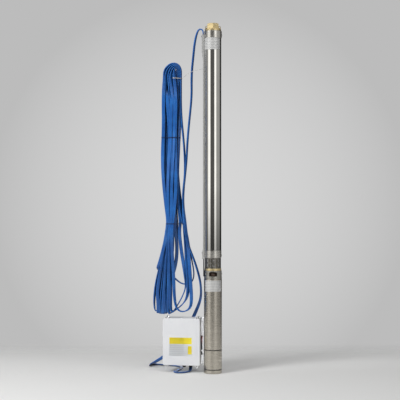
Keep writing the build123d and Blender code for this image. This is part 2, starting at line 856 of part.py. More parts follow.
def build_box_shells():
    """Base and lid of the control box with their ears, gasket and lid screws."""
    ear_x = box_width / 2 - ear_inset
    ears = [(x, z) for x in (-ear_x, ear_x) for z in (-ear_rise, box_height + ear_rise)]
    inner_width = box_width - 2 * box_wall
    inner_height = box_height - 2 * box_wall
    inner_corner = box_corner - box_wall
    lid = slab(box_width, box_height, box_corner, 0, lid_depth)
    lid = fillet(lid.faces().sort_by(Axis.Y)[0].edges(), lid_edge_radius)
    base = slab(box_width, box_height, box_corner, lid_seam_top, box_depth)
    base = fillet(base.faces().sort_by(Axis.Y)[-1].edges(), lid_edge_radius)
    gasket = slab(box_width - 1, box_height - 1, box_corner, lid_depth, lid_seam_top)
    for x, z in ears:
        lid += along_depth(ear_r, x, z, lid_depth - ear_length, lid_depth)
        base += along_depth(ear_r, x, z, lid_seam_top, lid_depth + ear_length)
        gasket += along_depth(ear_r - 0.5, x, z, lid_depth, lid_seam_top)
    lid -= slab(inner_width, inner_height, inner_corner, box_wall, lid_depth)
    base -= slab(inner_width, inner_height, inner_corner, lid_seam_top, box_depth - box_wall)
    gasket -= slab(inner_width, inner_height, inner_corner, lid_depth, lid_seam_top)
    half = wall_hole_pitch / 2
    wall_holes = [(x, box_height / 2 + z) for x in (-half, half) for z in (-half, half)]
    for x, z in wall_holes:
        base -= along_depth(wall_hole_r, x, z, box_depth - 2 * box_wall, box_depth + 1)
    screws = []
    for x, z in ears:
        screw_low = lid_depth - ear_length
        seat = screw_low + lid_screw_head_height
        hole = along_depth(lid_screw_r + seat_gap, x, z, screw_low - 1, seat + lid_screw_length)
        well = along_depth(lid_screw_head_r + seat_gap, x, z, screw_low - 1, seat)
        boss = along_depth(ear_r, x, z, lid_seam_top, lid_depth + ear_length) - hole
        lid = lid + along_depth(ear_r, x, z, screw_low, lid_depth) - hole - well
        base = base + boss - hole
        gasket -= hole
        head = along_depth(lid_screw_head_r, x, z, screw_low + lid_screw_sink, seat)
        screws.append(head + along_depth(lid_screw_r, x, z, seat, seat + lid_screw_length - 2))
    box_parts["box_lid"] = lid
    box_parts["lid_gasket"] = gasket
    box_parts["lid_screws"] = screws
    return base


def build_switch(base):
    """Rocker in its frame, resettable breaker with its button, and the small side screw."""
    rocker_level = bezel_level + bezel_height / 2 - rocker_height / 2 - 3
    bezel = RectangleRounded(bezel_width, bezel_height, bezel_corner)
    frame_plate = from_side(bezel, bezel_level, switch_depth, 0, bezel_thickness)
    frame_plate = chamfer(frame_plate.faces().sort_by(Axis.X)[-1].edges(), bezel_chamfer)
    housing = Rectangle(rocker_width + 3, rocker_height + 3)
    cut_out = Rectangle(rocker_width + 3 + 2 * seat_gap, rocker_height + 3 + 2 * seat_gap)
    mouth = Rectangle(rocker_width + 2 * free_gap, rocker_height + 2 * free_gap)
    body = from_side(housing, rocker_level, switch_depth, -switch_body_depth, 0)
    well = from_side(mouth, rocker_level, switch_depth, 2 - switch_body_depth, 10)
    frame_plate = frame_plate + body - well
    base -= from_side(cut_out, rocker_level, switch_depth, -2 * box_wall, 1)
    pin_x = box_width / 2 - rocker_pin_depth
    pin_front = switch_depth - rocker_width / 2 - free_gap
    pin_back = switch_depth + rocker_width / 2 + free_gap
    pin_hole = along_depth(rocker_pin_r + run_gap, pin_x, rocker_level, pin_front, pin_back)
    frame_plate += along_depth(rocker_pin_r, pin_x, rocker_level, pin_front - 0.5, pin_back + 0.5)
    box_parts["switch_frame"] = frame_plate
    top_x = box_width / 2 + rocker_proud
    low_z = rocker_level - rocker_height / 2 + free_gap
    high_z = rocker_level + rocker_height / 2 - free_gap
    root_x = pin_x - 4
    shoulder_x = box_width / 2 - 1
    view = Plane((0, 0, 0), x_dir=(1, 0, 0), z_dir=(0, -1, 0))
    outline = [
        Line((root_x, rocker_level + 4), (shoulder_x, high_z)),
        Line((shoulder_x, high_z), (top_x, high_z - 0.6)),
        ThreePointArc((top_x, high_z - 0.6), (top_x - 1.6, rocker_level), (top_x, low_z + 0.6)),
        Line((top_x, low_z + 0.6), (shoulder_x, low_z)),
        Line((shoulder_x, low_z), (root_x, rocker_level - 4)),
        Line((root_x, rocker_level - 4), (root_x, rocker_level + 4)),
    ]
    rocker = extrude(view * make_face(outline), -rocker_width)
    rocker = Pos(0, switch_depth - rocker_width / 2, 0) * rocker
    tilt = Pos(pin_x, 0, rocker_level) * Rot(0, rocker_angle, 0) * Pos(-pin_x, 0, -rocker_level)
    box_parts["rocker"] = tilt * (rocker - pin_hole)
    button_place = (button_level, switch_depth)
    breaker_back = -box_wall - breaker_body
    breaker = from_side(Rectangle(breaker_body, breaker_body), *button_place, breaker_back, -box_wall)
    nut = from_side(RegularPolygon(breaker_nut_r, 6), *button_place, 0, breaker_nut_height)
    neck = from_side(Circle(breaker_neck_r), *button_place, -box_wall, breaker_nut_height)
    button_hole = from_side(Circle(button_r + touch_gap), *button_place, -button_well, 2 * button_well)
    base -= from_side(Circle(breaker_neck_r + seat_gap), *button_place, -2 * box_wall, 1)
    box_parts["breaker"] = breaker + nut + neck - button_hole
    button_foot = button_travel + free_gap - button_well
    button = from_side(Circle(button_r), *button_place, button_foot, button_proud)
    box_parts["reset_button"] = fillet(button.faces().sort_by(Axis.X)[-1].edges(), button_round)
    screw_place = (side_screw_level, side_screw_depth)
    screw = from_side(Circle(side_screw_r), *screw_place, 0, side_screw_height)
    shank = from_side(Circle(side_shank_r), *screw_place, -box_wall - side_screw_grip, 0)
    box_parts["side_screw"] = screw + shank
    base -= from_side(Circle(side_shank_r + seat_gap), *screw_place, -2 * box_wall, 1)
    return base


def build_box_inside():
    """Run capacitor in its clip, and the terminal block on the back wall."""
    back = box_depth - box_wall
    centre_y = back - clip_thickness - capacitor_r
    low = (box_height - capacitor_length) / 2 - capacitor_drop
    can = Pos(capacitor_x, centre_y, low) * post(capacitor_r, capacitor_length)
    can = fillet(can.edges().filter_by(GeomType.CIRCLE), capacitor_round)
    box_parts["capacitor"] = can
    clip_low = low + capacitor_length / 2 - clip_width / 2
    clip_r = capacitor_r + seat_gap + clip_thickness
    clip_top = clip_low + clip_width
    strap = Pos(capacitor_x, centre_y, clip_low) * post(clip_r, clip_width)
    foot_reach = clip_r + clip_foot
    foot_front = back - clip_thickness
    foot = block(capacitor_x - foot_reach, capacitor_x + foot_reach, foot_front, back, clip_low, clip_top)
    room = Pos(capacitor_x, centre_y, clip_low - 1) * post(capacitor_r + seat_gap, clip_width + 2)
    strap = strap & block(capacitor_x - clip_r, capacitor_x + clip_r, 0, back, clip_low, clip_top)
    box_parts["capacitor_clip"] = strap + foot - room
    rail_low = box_wall + terminal_rise
    rail_top = rail_low + terminal_height
    face = back - terminal_depth
    body = block(-terminal_length / 2, terminal_length / 2, face, back, rail_low, rail_top)
    pitch = terminal_length / terminal_ways
    for way in range(terminal_ways):
        x = -terminal_length / 2 + (way + 0.5) * pitch
        hole_top = face + terminal_hole_depth
        body -= along_depth(terminal_hole_r, x, (rail_low + rail_top) / 2, face - 1, hole_top)
    box_parts["terminal_block"] = body


def build_glands(base):
    """Two cable glands under the box, with their clamping nuts."""
    bodies = []
    nuts = []
    bore_length = 6 * (gland_drop + gland_nut_height)
    neck_height = gland_hex_height + gland_nut_height + box_wall
    for x in gland_offsets:
        place = Pos(x, gland_depth, 0)
        entry = Cylinder(gland_body_r + seat_gap, 4 * box_wall)
        base -= place * entry
        flange = extrude(RegularPolygon(gland_hex / 2, 6, major_radius=False), -gland_hex_height)
        neck = post(gland_body_r, neck_height)
        dome = post(gland_body_r, gland_drop - gland_hex_height, Align.MAX)
        dome = chamfer(dome.faces().sort_by(Axis.Z)[0].edges(), gland_chamfer)
        cable_way = Cylinder(tube_r + seat_gap, bore_length)
        gland = flange + Pos(0, 0, -gland_hex_height) * (neck + dome) - cable_way
        bodies.append(place * gland)
        nut = extrude(RegularPolygon(gland_nut_hex / 2, 6, major_radius=False), gland_nut_height)
        nut -= Cylinder(gland_body_r + seat_gap, bore_length)
        nuts.append(place * Pos(0, 0, box_wall) * nut)
    box_parts["cable_glands"] = bodies
    box_parts["gland_nuts"] = nuts
    return base


def build_hank():
    """Outer shape of the hank, with the ties round it."""
    slices = []
    for level, left, right in hank_sections:
        place = Pos((left + right) / 2, hank_y, level)
        slices.append(place * RectangleRounded(right - left, hank_depth, hank_corner))
    parts["cable_hank"] = loft(slices, ruled=True)
    ties = []
    for level in tie_levels:
        pairs = zip(hank_sections, hank_sections[1:])
        above, below = [pair for pair in pairs if pair[0][0] >= level >= pair[1][0]][0]
        drop = above[0] - below[0]
        share = (above[0] - level) / drop
        left = above[1] + share * (below[1] - above[1])
        right = above[2] + share * (below[2] - above[2])
        slope = max(abs(below[1] - above[1]), abs(below[2] - above[2])) / drop
        width = right - left + 2 * touch_gap + slope * tie_height
        depth = hank_depth + 2 * touch_gap
        outer = RectangleRounded(width + 2 * tie_wall, depth + 2 * tie_wall, hank_corner + tie_wall)
        band = extrude(outer - RectangleRounded(width, depth, hank_corner), tie_height)
        ties.append(Pos((left + right) / 2, hank_y, level - tie_height / 2) * band)
    parts["hank_ties"] = ties


def build_cords(box_place):
    """Free lead from the guard to the hank, tail from the hank to the gland, and the thin hang line."""
    parts["lead_cable"] = tube_route("lead_cable", lead_points, tube_r)
    gland_mouth = (box_place * Pos(gland_offsets[0], gland_depth, -gland_drop)).position
    inside = (box_place * Pos(gland_offsets[0], gland_depth, box_wall + 2)).position
    tail = [*tail_points, (inside.X, inside.Y, gland_mouth.Z - 5), (inside.X, inside.Y, inside.Z)]
    parts["tail_cable"] = tube_route("tail_cable", tail, tube_r)
    parts["hang_line"] = tube_route("hang_line", hang_points, line_r)


# Routes of the cable, from the guard to the hank, and from the hank to the gland
lead_points = (
    (lead_exit_x, 0.0, guard_top),
    (lead_exit_x, 0.0, 1454.3),
    (-48.9, 0.0, 1461.5),
    (-59.6, 0.5, 1460.4),
    (-66.4, 1.2, 1448.0),
    (-73.5, 2.5, 1424.0),
    (-79.0, 4.0, 1391.0),
    (-82.5, 7.0, 1356.0),
    (-86.0, 9.0, 1322.0),
    (-89.5, 11.0, 1287.0),
    (-91.0, 14.0, 1240.0),
    (-90.5, 16.0, 1200.0),
    (-92.0, 18.0, 1160.0),
    (-97.0, 21.0, 1108.0),
    (-103.5, 24.0, 1045.0),
    (-109.0, 27.0, 978.0),
    (-112.5, 30.0, 905.0),
    (-121.0, 32.0, 840.0),
    (-134.0, 34.0, 770.0),
    (-146.0, 34.0, 705.0),
)
tail_points = (
    (-118.0, 34.0, 590.0),
    (-105.0, 34.0, 545.0),
    (-94.0, 35.0, 514.0),
    (-80.5, 38.0, 479.0),
    (-67.0, 44.0, 438.0),
    (-56.0, 53.0, 397.0),
    (-50.5, 66.0, 356.0),
    (-50.5, 80.0, 322.0),
    (-57.0, 93.0, 291.0),
    (-69.0, 105.0, 260.0),
    (-86.0, 116.0, 221.0),
    (-107.0, 124.0, 176.0),
    (-134.0, 130.0, 132.0),
    (-166.0, 135.0, 92.0),
    (-200.0, 142.0, 60.0),
    (-232.0, 152.0, 37.0),
    (-260.0, 165.0, 19.0),
    (-278.0, 186.0, tube_r + 1.5),
    (-271.0, 207.0, tube_r + 1.0),
    (-250.0, 216.0, tube_r + 1.0),
    (-214.0, 210.0, tube_r + 0.5),
    (-178.0, 194.0, floor_z),
    (-149.0, 172.0, floor_z),
    (-133.0, 143.0, floor_z),
    (-139.0, 108.0, floor_z),
    (-147.0, 74.0, floor_z),
    (-156.0, 40.0, floor_z),
    (-163.0, 12.0, floor_z),
    (-155.0, -10.0, floor_z),
    (-132.0, -12.0, floor_z),
    (-111.0, 4.0, floor_z),
    (-101.0, 24.0, floor_z),
    (-96.5, 37.5, tube_r + 1.2),
)
hang_points = (
    (-127.3, hank_y, 1258.5),
    (-118.0, 22.0, 1265.0),
    (-106.0, 8.0, 1273.0),
    (-92.0, -3.0, 1280.0),
    (-73.0, -4.0, 1286.5),
    (-57.0, -2.0, 1289.5),
    (-42.7, 0.0, 1291.0),
)

box_parts = {}
box_place = Pos(box_front_x, box_front_y, box_level) * Rot(0, 0, box_turn)

chamber_r = build_motor_housing()
bush_r, end_r, coupling_low = build_motor_inside(chamber_r)
plug_top, bracket_screws = build_motor_bracket(bush_r)
build_coupling(end_r, coupling_low)
collar_screw = build_suction()
build_stages()
ring_screw = build_head()
build_guard(plug_top)
parts["ring_screws"] = [*bracket_screws, collar_screw, ring_screw]
box_base = build_box_shells()
box_base = build_switch(box_base)
build_box_inside()
box_parts["box_base"] = build_glands(box_base)
build_hank()
build_cords(box_place)

for node, shape in box_parts.items():
    pieces = shape if isinstance(shape, list) else [shape]
    parts[node] = [box_place * piece for piece in pieces]

os.makedirs("parts", exist_ok=True)
for node, shape in parts.items():
    pieces = shape if isinstance(shape, list) else [shape]
    solids = [solid for piece in pieces for solid in piece.solids()]
    export_step(Compound(solids) if len(solids) > 1 else solids[0], f"parts/{node}.step")
print(len(parts), "nodes")
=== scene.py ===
import math

import bmesh
import bpy
from mathutils import Matrix, Vector, geometry


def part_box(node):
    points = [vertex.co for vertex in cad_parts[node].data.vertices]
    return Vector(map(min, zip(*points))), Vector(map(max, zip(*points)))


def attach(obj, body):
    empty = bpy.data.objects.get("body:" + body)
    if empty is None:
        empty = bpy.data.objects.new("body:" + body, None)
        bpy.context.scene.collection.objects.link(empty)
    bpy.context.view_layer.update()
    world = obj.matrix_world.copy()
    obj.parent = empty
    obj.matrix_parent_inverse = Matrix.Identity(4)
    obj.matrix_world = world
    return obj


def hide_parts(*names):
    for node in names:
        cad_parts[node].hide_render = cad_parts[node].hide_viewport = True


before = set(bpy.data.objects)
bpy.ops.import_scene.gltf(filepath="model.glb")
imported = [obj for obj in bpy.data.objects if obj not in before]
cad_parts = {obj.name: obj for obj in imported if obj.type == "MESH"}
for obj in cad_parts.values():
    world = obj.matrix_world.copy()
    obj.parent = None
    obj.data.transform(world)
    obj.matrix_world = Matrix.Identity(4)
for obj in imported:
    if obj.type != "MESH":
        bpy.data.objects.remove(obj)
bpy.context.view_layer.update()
mm = 0.001
print("frame loaded")


def linearRgb(hexText):  # sRGB hex to the linear colour that the shader wants
    parts = [int(hexText[i:i + 2], 16) / 255 for i in (1, 3, 5)]
    return tuple(p / 12.92 if p <= 0.04045 else ((p + 0.055) / 1.055) ** 2.4 for p in parts) + (1.0,)


def addNode(tree, kind, links=None, values=None, **settings):
    node = tree.nodes.new(kind)
    for key, value in settings.items():
        setattr(node, key, value)
    for key, value in (values or {}).items():
        node.inputs[key].default_value = value
    for key, socket in (links or {}).items():
        tree.links.new(socket, node.inputs[key])
    return node


# Camera, level with the middle of the pump and far away, as the photograph was taken
camera = {"place": (-0.055, -4.9, 0.735), "lens": 103.77, "tilt": 90.0}

cameraData = bpy.data.cameras.new("studioCamera")
cameraData.lens = camera["lens"]
cameraObject = bpy.data.objects.new("studioCamera", cameraData)
cameraObject.location = camera["place"]
cameraObject.rotation_euler = (math.radians(camera["tilt"]), 0, 0)
bpy.context.scene.collection.objects.link(cameraObject)
bpy.context.scene.camera = cameraObject
bpy.context.scene.view_settings.view_transform = "Standard"
print("camera set")


# The cable: from the guard hood to the hank, round the hank, then to the gland of the box
cable = {
    "width": 15.0,
    "thickness": 5.0,
    "groove": 0.45,  # between the three cores
    "ringStep": 7.5,
    "floorLevel": 12.0,
    "leadExit": (-41.09, 0.0, 1437.0),
    "edgeReach": 9.0,  # from the cable's middle to the line beside it that keeps its width's direction
    "splineOrder": 3,
    "splineSteps": 8,
}

# Hank: height, then left and right limits of the front strands and of the rear strands
hankLimits = (
    (1262.0, -211.0, -170.0, -156.0, -137.0),
    (1220.0, -214.0, -162.0, -162.0, -138.0),
    (1170.0, -215.0, -156.0, -180.0, -139.0),
    (1090.0, -210.0, -156.0, -200.0, -144.0),
    (1015.0, -208.0, -158.0, -204.0, -148.0),
    (950.0, -210.0, -158.0, -205.0, -148.0),
    (880.0, -212.0, -159.0, -206.0, -149.0),
    (800.0, -210.0, -161.0, -202.0, -147.0),
    (735.0, -206.0, -164.0, -198.0, -143.0),
    (680.0, -200.0, -170.0, -194.0, -134.0),
    (640.0, -195.0, -175.0, -191.0, -126.0),
)
hank = {
    "frontY": (19.5, 30.0),  # depth of the near strands, and of those between
    "rearY": (36.0, 43.5),
    "archY": (26.0, 42.0),
    "sway": 4.4,
    "depthSway": 1.6,
    "depthPace": 1.3,  # the pace is set against that of the sideways sway
    "frontWave": (1.7, 95.0),  # radians that the sway shifts from turn to turn, and height of one radian
    "rearWave": (2.1, 110.0),
    "faces": (104.0, 34.0),  # near strands turn to the light, those between turn away
    "faceSway": 14.0,
    "facePace": 1.4,
    "archFace": 56.0,
    "rearFace": 60.0,
    "gather": (1150.0, 80.0),  # where the front strands begin to close up, and over what height
    "archFoot": 1262.0,
    "apexX": -164.0,
    "fallStep": 5.0,  # from rank to rank on the right of the arch
    "fallHeight": 150.0,
    "arch": (  # side, then x beyond it, x for each rank, depth, height, height for each rank, lean
        ("left", 4.0, 0.0, 0.0, 1290.0, -3.0, 46.0),
        ("apex", -18.0, 5.0, 0.0, 1318.5, -4.95, 20.0),
        ("apex", 12.0, -0.4, 4.0, 1320.5, -4.95, 8.0),
        ("right", 1.0, 0.0, 13.0, 1299.0, -4.0, 22.0),
        ("right", 0.0, 0.0, 18.0, 1262.0, 0.0, 26.0),
    ),
    "frontLevels": (640, 700, 780, 860, 940, 1010, 1080, 1150, 1210, 1255),
    "rearLevels": (1215, 1150, 1080, 1010, 940, 860, 780, 700, 640),
    "bow": {1080: -134.0, 1010: -127.0, 940: -121.0, 860: -118.5, 780: -125.0, 700: -129.0, 640: -124.0},
    "bowDepth": 36.0,
    "bowFace": 24.0,
}


def along(limits, level):  # the four limits at a height, straight between the given ones
    for high, low in zip(limits, limits[1:]):
        if high[0] >= level >= low[0]:
            share = (high[0] - level) / (high[0] - low[0])
            return [a + share * (b - a) for a, b in zip(high[1:], low[1:])]
    return list(limits[-1][1:])


# Each turn: place among the front strands and the rear strands, 0 to 1 from the left, its rank in
# the arch from outside, its side there (0 near, 1 far), then its points below the neck, down and up.
# Each point is x, y, z and the way the flat cable's width points: 0 is in depth, 90 is across.
# On the floor the angle is the cable's lean from standing on its edge
turns = (
    {"front": 1.0, "rear": 0.9, "rank": 4, "side": 0,
     "low": ((-114, 33, 590, 60), (-106, 31, 530, 75), (-101, 29, 470, 82), (-97, 28, 410, 84),
             (-93, 27, 350, 80), (-91, 27, 305, 70), (-96, 27, 274, 45), (-116, 27, 259, 18),
             (-140, 27, 258, 20), (-158, 25, 276, 25), (-165, 23, 325, 55), (-167, 22, 390, 65),
             (-170, 21, 450, 70), (-174, 20, 510, 74), (-177, 20, 575, 74))},
    {"front": 0.87, "rear": 0.84, "rank": 4, "side": 1,
     "low": ((-144, 38, 600, 78), (-138, 38, 540, 80), (-129, 39, 480, 80), (-119, 41, 420, 60),
             (-115, 43, 362, 5), (-130, 43, 322, 0), (-148, 42, 290, 0), (-165, 38, 262, 15),
             (-176, 31, 256, 40), (-181, 26, 275, 55), (-180, 25, 330, 60), (-181, 26, 400, 60),
             (-183, 27, 460, 60), (-183, 27, 520, 60), (-184, 28, 590, 60))},
    {"front": 0.75, "rear": 0.98, "rank": 3, "side": 0,
     "low": ((-121, 44, 600, 60), (-116, 41, 540, 78), (-113, 39, 470, 84), (-109, 38, 410, 84),
             (-106, 38, 350, 76), (-110, 40, 318, 45), (-124, 43, 293, 0), (-150, 42, 270, 0),
             (-176, 38, 252, 25), (-189, 29, 251, 50), (-192, 22, 280, 60), (-190, 20, 340, 62),
             (-189, 20, 400, 62), (-187, 20, 470, 62), (-186, 21, 560, 62))},
    {"front": 0.25, "rear": 1.0, "rank": 1, "side": 0,
     "low": ((-110, 46, 590, 20), (-100, 46, 530, 10), (-90, 46, 476, 5), (-82, 46, 436, 5),
             (-81, 46, 405, 5), (-90, 47, 381, 5), (-112, 47, 373, 5), (-138, 47, 377, 10),
             (-168, 47, 404, 20), (-200, 46, 428, 45), (-225, 43, 441, 75), (-236, 33, 441, 88),
             (-231, 21, 455, 88), (-216, 18, 505, 84), (-201, 19, 570, 78))},
    {"front": 0.62, "rear": 0.6, "rank": 3, "side": 1,
     "low": ((-158, 42, 590, 78), (-153, 43, 530, 80), (-157, 44, 465, 80), (-176, 45, 400, 64),
             (-190, 46, 340, 66), (-197, 46, 290, 70), (-200, 44, 262, 80), (-202, 36, 250, 85),
             (-203, 28, 252, 80), (-203, 24, 280, 66), (-201, 25, 330, 60), (-199, 27, 400, 58),
             (-194, 28, 470, 58), (-190, 29, 530, 60), (-188, 29, 590, 62))},
    {"front": 0.5, "rear": 0.44, "rank": 2, "side": 0,
     "low": ((-172, 36, 590, 70), (-172, 37, 530, 74), (-179, 38, 470, 72), (-196, 40, 400, 62),
             (-204, 42, 340, 64), (-209, 43, 290, 70), (-212, 41, 258, 80), (-213, 33, 247, 85),
             (-213, 24, 250, 80), (-213, 20, 282, 66), (-210, 20, 335, 60), (-205, 20, 400, 60),
             (-199, 21, 470, 60), (-193, 22, 530, 62), (-189, 22, 590, 64))},
    {"front": 0.37, "rear": 0.28, "rank": 2, "side": 1,
     "low": ((-183, 44, 590, 62), (-187, 44, 530, 60), (-195, 45, 470, 60), (-205, 46, 400, 62),
             (-214, 46, 340, 64), (-219, 46, 290, 68), (-221, 44, 261, 80), (-223, 36, 249, 85),
             (-224, 28, 251, 80), (-223, 24, 282, 66), (-219, 26, 335, 58), (-211, 27, 405, 56),
             (-203, 28, 470, 56), (-196, 29, 530, 60), (-192, 29, 590, 62))},
    {"front": 0.12, "rear": 0.14, "rank": 1, "side": 1,
     "low": ((-188, 37, 590, 60), (-193, 38, 530, 58), (-202, 39, 470, 58), (-213, 40, 400, 60),
             (-223, 42, 340, 62), (-229, 43, 292, 66), (-231, 41, 264, 76), (-233, 34, 252, 80),
             (-234, 26, 255, 76), (-233, 21, 285, 66), (-238, 21, 340, 66), (-228, 21, 410, 64),
             (-215, 22, 470, 54), (-203, 25, 530, 58), (-195, 28, 590, 60))},
    {"front": 0.0, "rear": 0.0, "rank": 0, "side": 0,
     "low": ((-192, 44, 590, 50), (-198, 44, 530, 42), (-208, 44, 470, 34), (-219, 43, 400, 26),
             (-231, 41, 340, 18), (-236, 39, 300, 12), (-232, 37, 270, 8), (-240, 34, 256, 5),
             (-249, 31, 266, 8), (-251, 29, 303, 26), (-247, 29, 355, 34), (-236, 29, 410, 42),
             (-222, 30, 465, 34), (-207, 30, 525, 44), (-198, 26, 590, 56))},
)
leadPoints = (
    (-41.09, 0, 1437, 0), (-41.09, 0, 1454.3, 0), (-48.9, 0, 1461.5, 5), (-59.6, 0.5, 1460.4, 10),
    (-66.4, 1.2, 1448, 18), (-73.5, 2.5, 1424, 26), (-79, 4, 1391, 28), (-82.5, 7, 1356, 28),
    (-86, 9, 1322, 28), (-89.5, 11, 1287, 28), (-91, 14, 1240, 28), (-90.5, 16, 1200, 26),
    (-92, 18, 1160, 26), (-97, 21, 1108, 26), (-103.5, 24, 1045, 26), (-109, 27, 978, 26),
    (-112.5, 30, 905, 26), (-119, 32, 840, 28), (-127, 34, 770, 30), (-127, 33, 705, 35),
    (-119, 34, 645, 45),
)
tailPoints = (
    (-118, 30, 590, 30), (-105, 32, 545, 18), (-94, 35, 514, 22), (-80.5, 38, 479, 26),
    (-67, 44, 438, 26), (-56, 53, 397, 26), (-50.5, 66, 356, 26), (-50.5, 80, 322, 34),
    (-57, 93, 291, 52), (-69, 105, 260, 76), (-86, 116, 221, 84), (-107, 124, 176, 84),
    (-134, 130, 132, 84), (-166, 135, 92, 84), (-200, 142, 60, 84), (-232, 152, 37, 86),
    (-260, 165, 19, 88), (-278, 186, 8.2, 28), (-271, 209, 7.2, 44), (-250, 222, 5.2, 68),
    (-214, 217, 3.8, 80), (-178, 200, 3.4, 84), (-149, 175, 3.4, 84), (-133, 143, 3.4, 84),
    (-139, 108, 3.4, 84), (-147, 74, 3.4, 84), (-156, 40, 3.4, 84), (-163, 12, 3.4, 84),
    (-155, -10, 3.4, 84), (-132, -12, 3.4, 84), (-111, 4, 3.4, 84), (-101, 24, 4.2, 78),
    (-96.5, 37.5, 8, 70), (-95.21, 45.63, 13, 110), (-95.21, 45.63, 35, 110),
)


def sideways(points):  # direction of the cable's width at each point
    directions = []
    for index, (x, y, z, lean) in enumerate(points):
        before = points[max(index - 1, 0)]
        after = points[min(index + 1, len(points) - 1)]
        run = (Vector(after[:3]) - Vector(before[:3])).normalized()
        angle = math.radians(lean)
        if z < cable["floorLevel"]:
            level = run.cross(Vector((0, 0, 1))).normalized()
            wide = level * math.sin(angle) + Vector((0, 0, math.cos(angle)))
        else:
            wide = Vector((math.sin(angle), math.cos(angle), 0))
        wide = (wide - run * wide.dot(run)).normalized()
        if directions and wide.dot(directions[-1]) < 0:  # no half turns between neighbours
            wide = -wide
        directions.append(wide)
    return directions


def besideRoute(points):  # the route again, moved along the cable's width
    reach = cable["edgeReach"]
    return [
        (x + reach * side.x, y + reach * side.y, z + reach * side.z)
        for (x, y, z, lean), side in zip(points, sideways(points))
    ]


def smoothLine(name, points):  # points of the NURBS spline, read as a curve without bevel
    curve = bpy.data.curves.new(name, "CURVE")
    curve.dimensions = "3D"
    curve.resolution_u = cable["splineSteps"]
    spline = curve.splines.new("NURBS")
    spline.points.add(len(points) - 1)
    for target, point in zip(spline.points, points):
        target.co = (point[0] * mm, point[1] * mm, point[2] * mm, 1)
    spline.order_u = cable["splineOrder"]
    spline.use_endpoint_u = True
    holder = bpy.data.objects.new(name, curve)
    bpy.context.scene.collection.objects.link(holder)
    bpy.context.view_layer.update()
    mesh = bpy.data.meshes.new_from_object(holder)
    line = [vertex.co.copy() for vertex in mesh.vertices]
    bpy.data.objects.remove(holder)
    bpy.data.meshes.remove(mesh)
    return line


def thinLine(line, edge, step):  # keeps points about one step apart, and their width directions
    keptLine = [line[0]]
    keptEdge = [edge[0]]
    for point, side in zip(line[1:-1], edge[1:-1]):
        if (point - keptLine[-1]).length >= step * mm:
            keptLine.append(point)
            keptEdge.append(side)
    return keptLine + [line[-1]], keptEdge + [edge[-1]]


def layRoute(name, points, step):  # rings of a cord's middle line, and of the line beside it
    return thinLine(smoothLine(name + "Route", points), smoothLine(name + "Edge", besideRoute(points)), step)


def flatProfile(width, thickness, groove):  # section of a flat three-core cable
    radius = thickness / 2
    reach = width / 2 - radius
    outline = []
    for degrees in range(-90, 91, 36):  # the rounded edge
        angle = math.radians(degrees)
        outline.append((reach + radius * math.cos(angle), radius * math.sin(angle)))
    outline += [(reach / 2, radius - groove), (0, radius), (-reach / 2, radius - groove)]
    outline += [(-x, -y) for x, y in outline]
    return outline


def faceOutward(bm):  # and shaded smooth, for round pieces
    bmesh.ops.recalc_face_normals(bm, faces=bm.faces)
    for face in bm.faces:
        face.smooth = True


def makePiece(name, bm):  # an object in the scene, from a finished bmesh
    mesh = bpy.data.meshes.new(name)
    bm.to_mesh(mesh)
    bm.free()
    piece = bpy.data.objects.new(name, mesh)
    bpy.context.scene.collection.objects.link(piece)
    return piece


def sweepCable(name, line, edge, profile):
    rings = []
    bm = bmesh.new()
    for index, point in enumerate(line):
        before = line[max(index - 1, 0)]
        after = line[min(index + 1, len(line) - 1)]
        run = (after - before).normalized()
        wide = edge[index] - point
        wide = (wide - run * wide.dot(run)).normalized()
        thin = run.cross(wide)
        rings.append([bm.verts.new(point + (wide * u + thin * v) * mm) for u, v in profile])
    for first, second in zip(rings, rings[1:]):
        for index in range(len(profile)):
            after = (index + 1) % len(profile)
            bm.faces.new((first[index], first[after], second[after], second[index]))
    bm.faces.new(rings[0][::-1])
    bm.faces.new(rings[-1])
    faceOutward(bm)
    return makePiece(name, bm)


def frontStrand(number, turn):  # up the front, closing up towards the arch
    shift, stretch = hank["frontWave"]
    gatherLevel, gatherHeight = hank["gather"]
    strand = []
    for level in hank["frontLevels"]:
        left, right = along(hankLimits, level)[:2]
        phase = shift * number + level / stretch
        toArch = min(max(0.0, (level - gatherLevel) / gatherHeight), 1.0)
        x = left + turn["front"] * (right - left) + hank["sway"] * math.sin(phase)
        y = hank["frontY"][number % 2] + hank["depthSway"] * math.sin(hank["depthPace"] * phase)
        y += toArch * (hank["archY"][turn["side"]] - y)
        face = hank["faces"][number % 2] + hank["faceSway"] * math.sin(hank["facePace"] * phase + number)
        strand.append((x, y, level, face + toArch * (hank["archFace"] - face)))
    return strand


def archOver(turn):  # over the top, each rank inside the one before
    limits = along(hankLimits, hank["archFoot"])
    places = {
        "left": limits[0] + turn["front"] * (limits[1] - limits[0]),
        "apex": hank["apexX"],
        "right": limits[3] - hank["fallStep"] * turn["rank"],
    }
    archY = hank["archY"][turn["side"]]
    return [
        (places[side] + x + xStep * turn["rank"], archY + depth, level + levelStep * turn["rank"], lean)
        for side, x, xStep, depth, level, levelStep, lean in hank["arch"]
    ]


def rearStrand(number, start, follower):  # down the back, from the end of the arch to the next turn
    startX, startY, startLevel, startFace = start
    shift, stretch = hank["rearWave"]
    strand = []
    for level in hank["rearLevels"]:
        left, right = along(hankLimits, level)[2:]
        phase = shift * number + level / stretch
        share = min(1.0, (startLevel - level) / hank["fallHeight"])
        if follower:
            aimX = left + follower["rear"] * (right - left) + hank["sway"] * math.sin(phase)
            aimY = hank["rearY"][number % 2]
            face = hank["rearFace"] + hank["faceSway"] * math.sin(phase)
        else:  # the strand that hangs clear on the right
            aimX = hank["bow"].get(level, startX)
            aimY = hank["bowDepth"]
            face = hank["bowFace"]
        x = startX + share * (aimX - startX)
        y = startY + share * (aimY - startY)
        strand.append((x, y, level, startFace + share * (face - startFace)))
    return strand


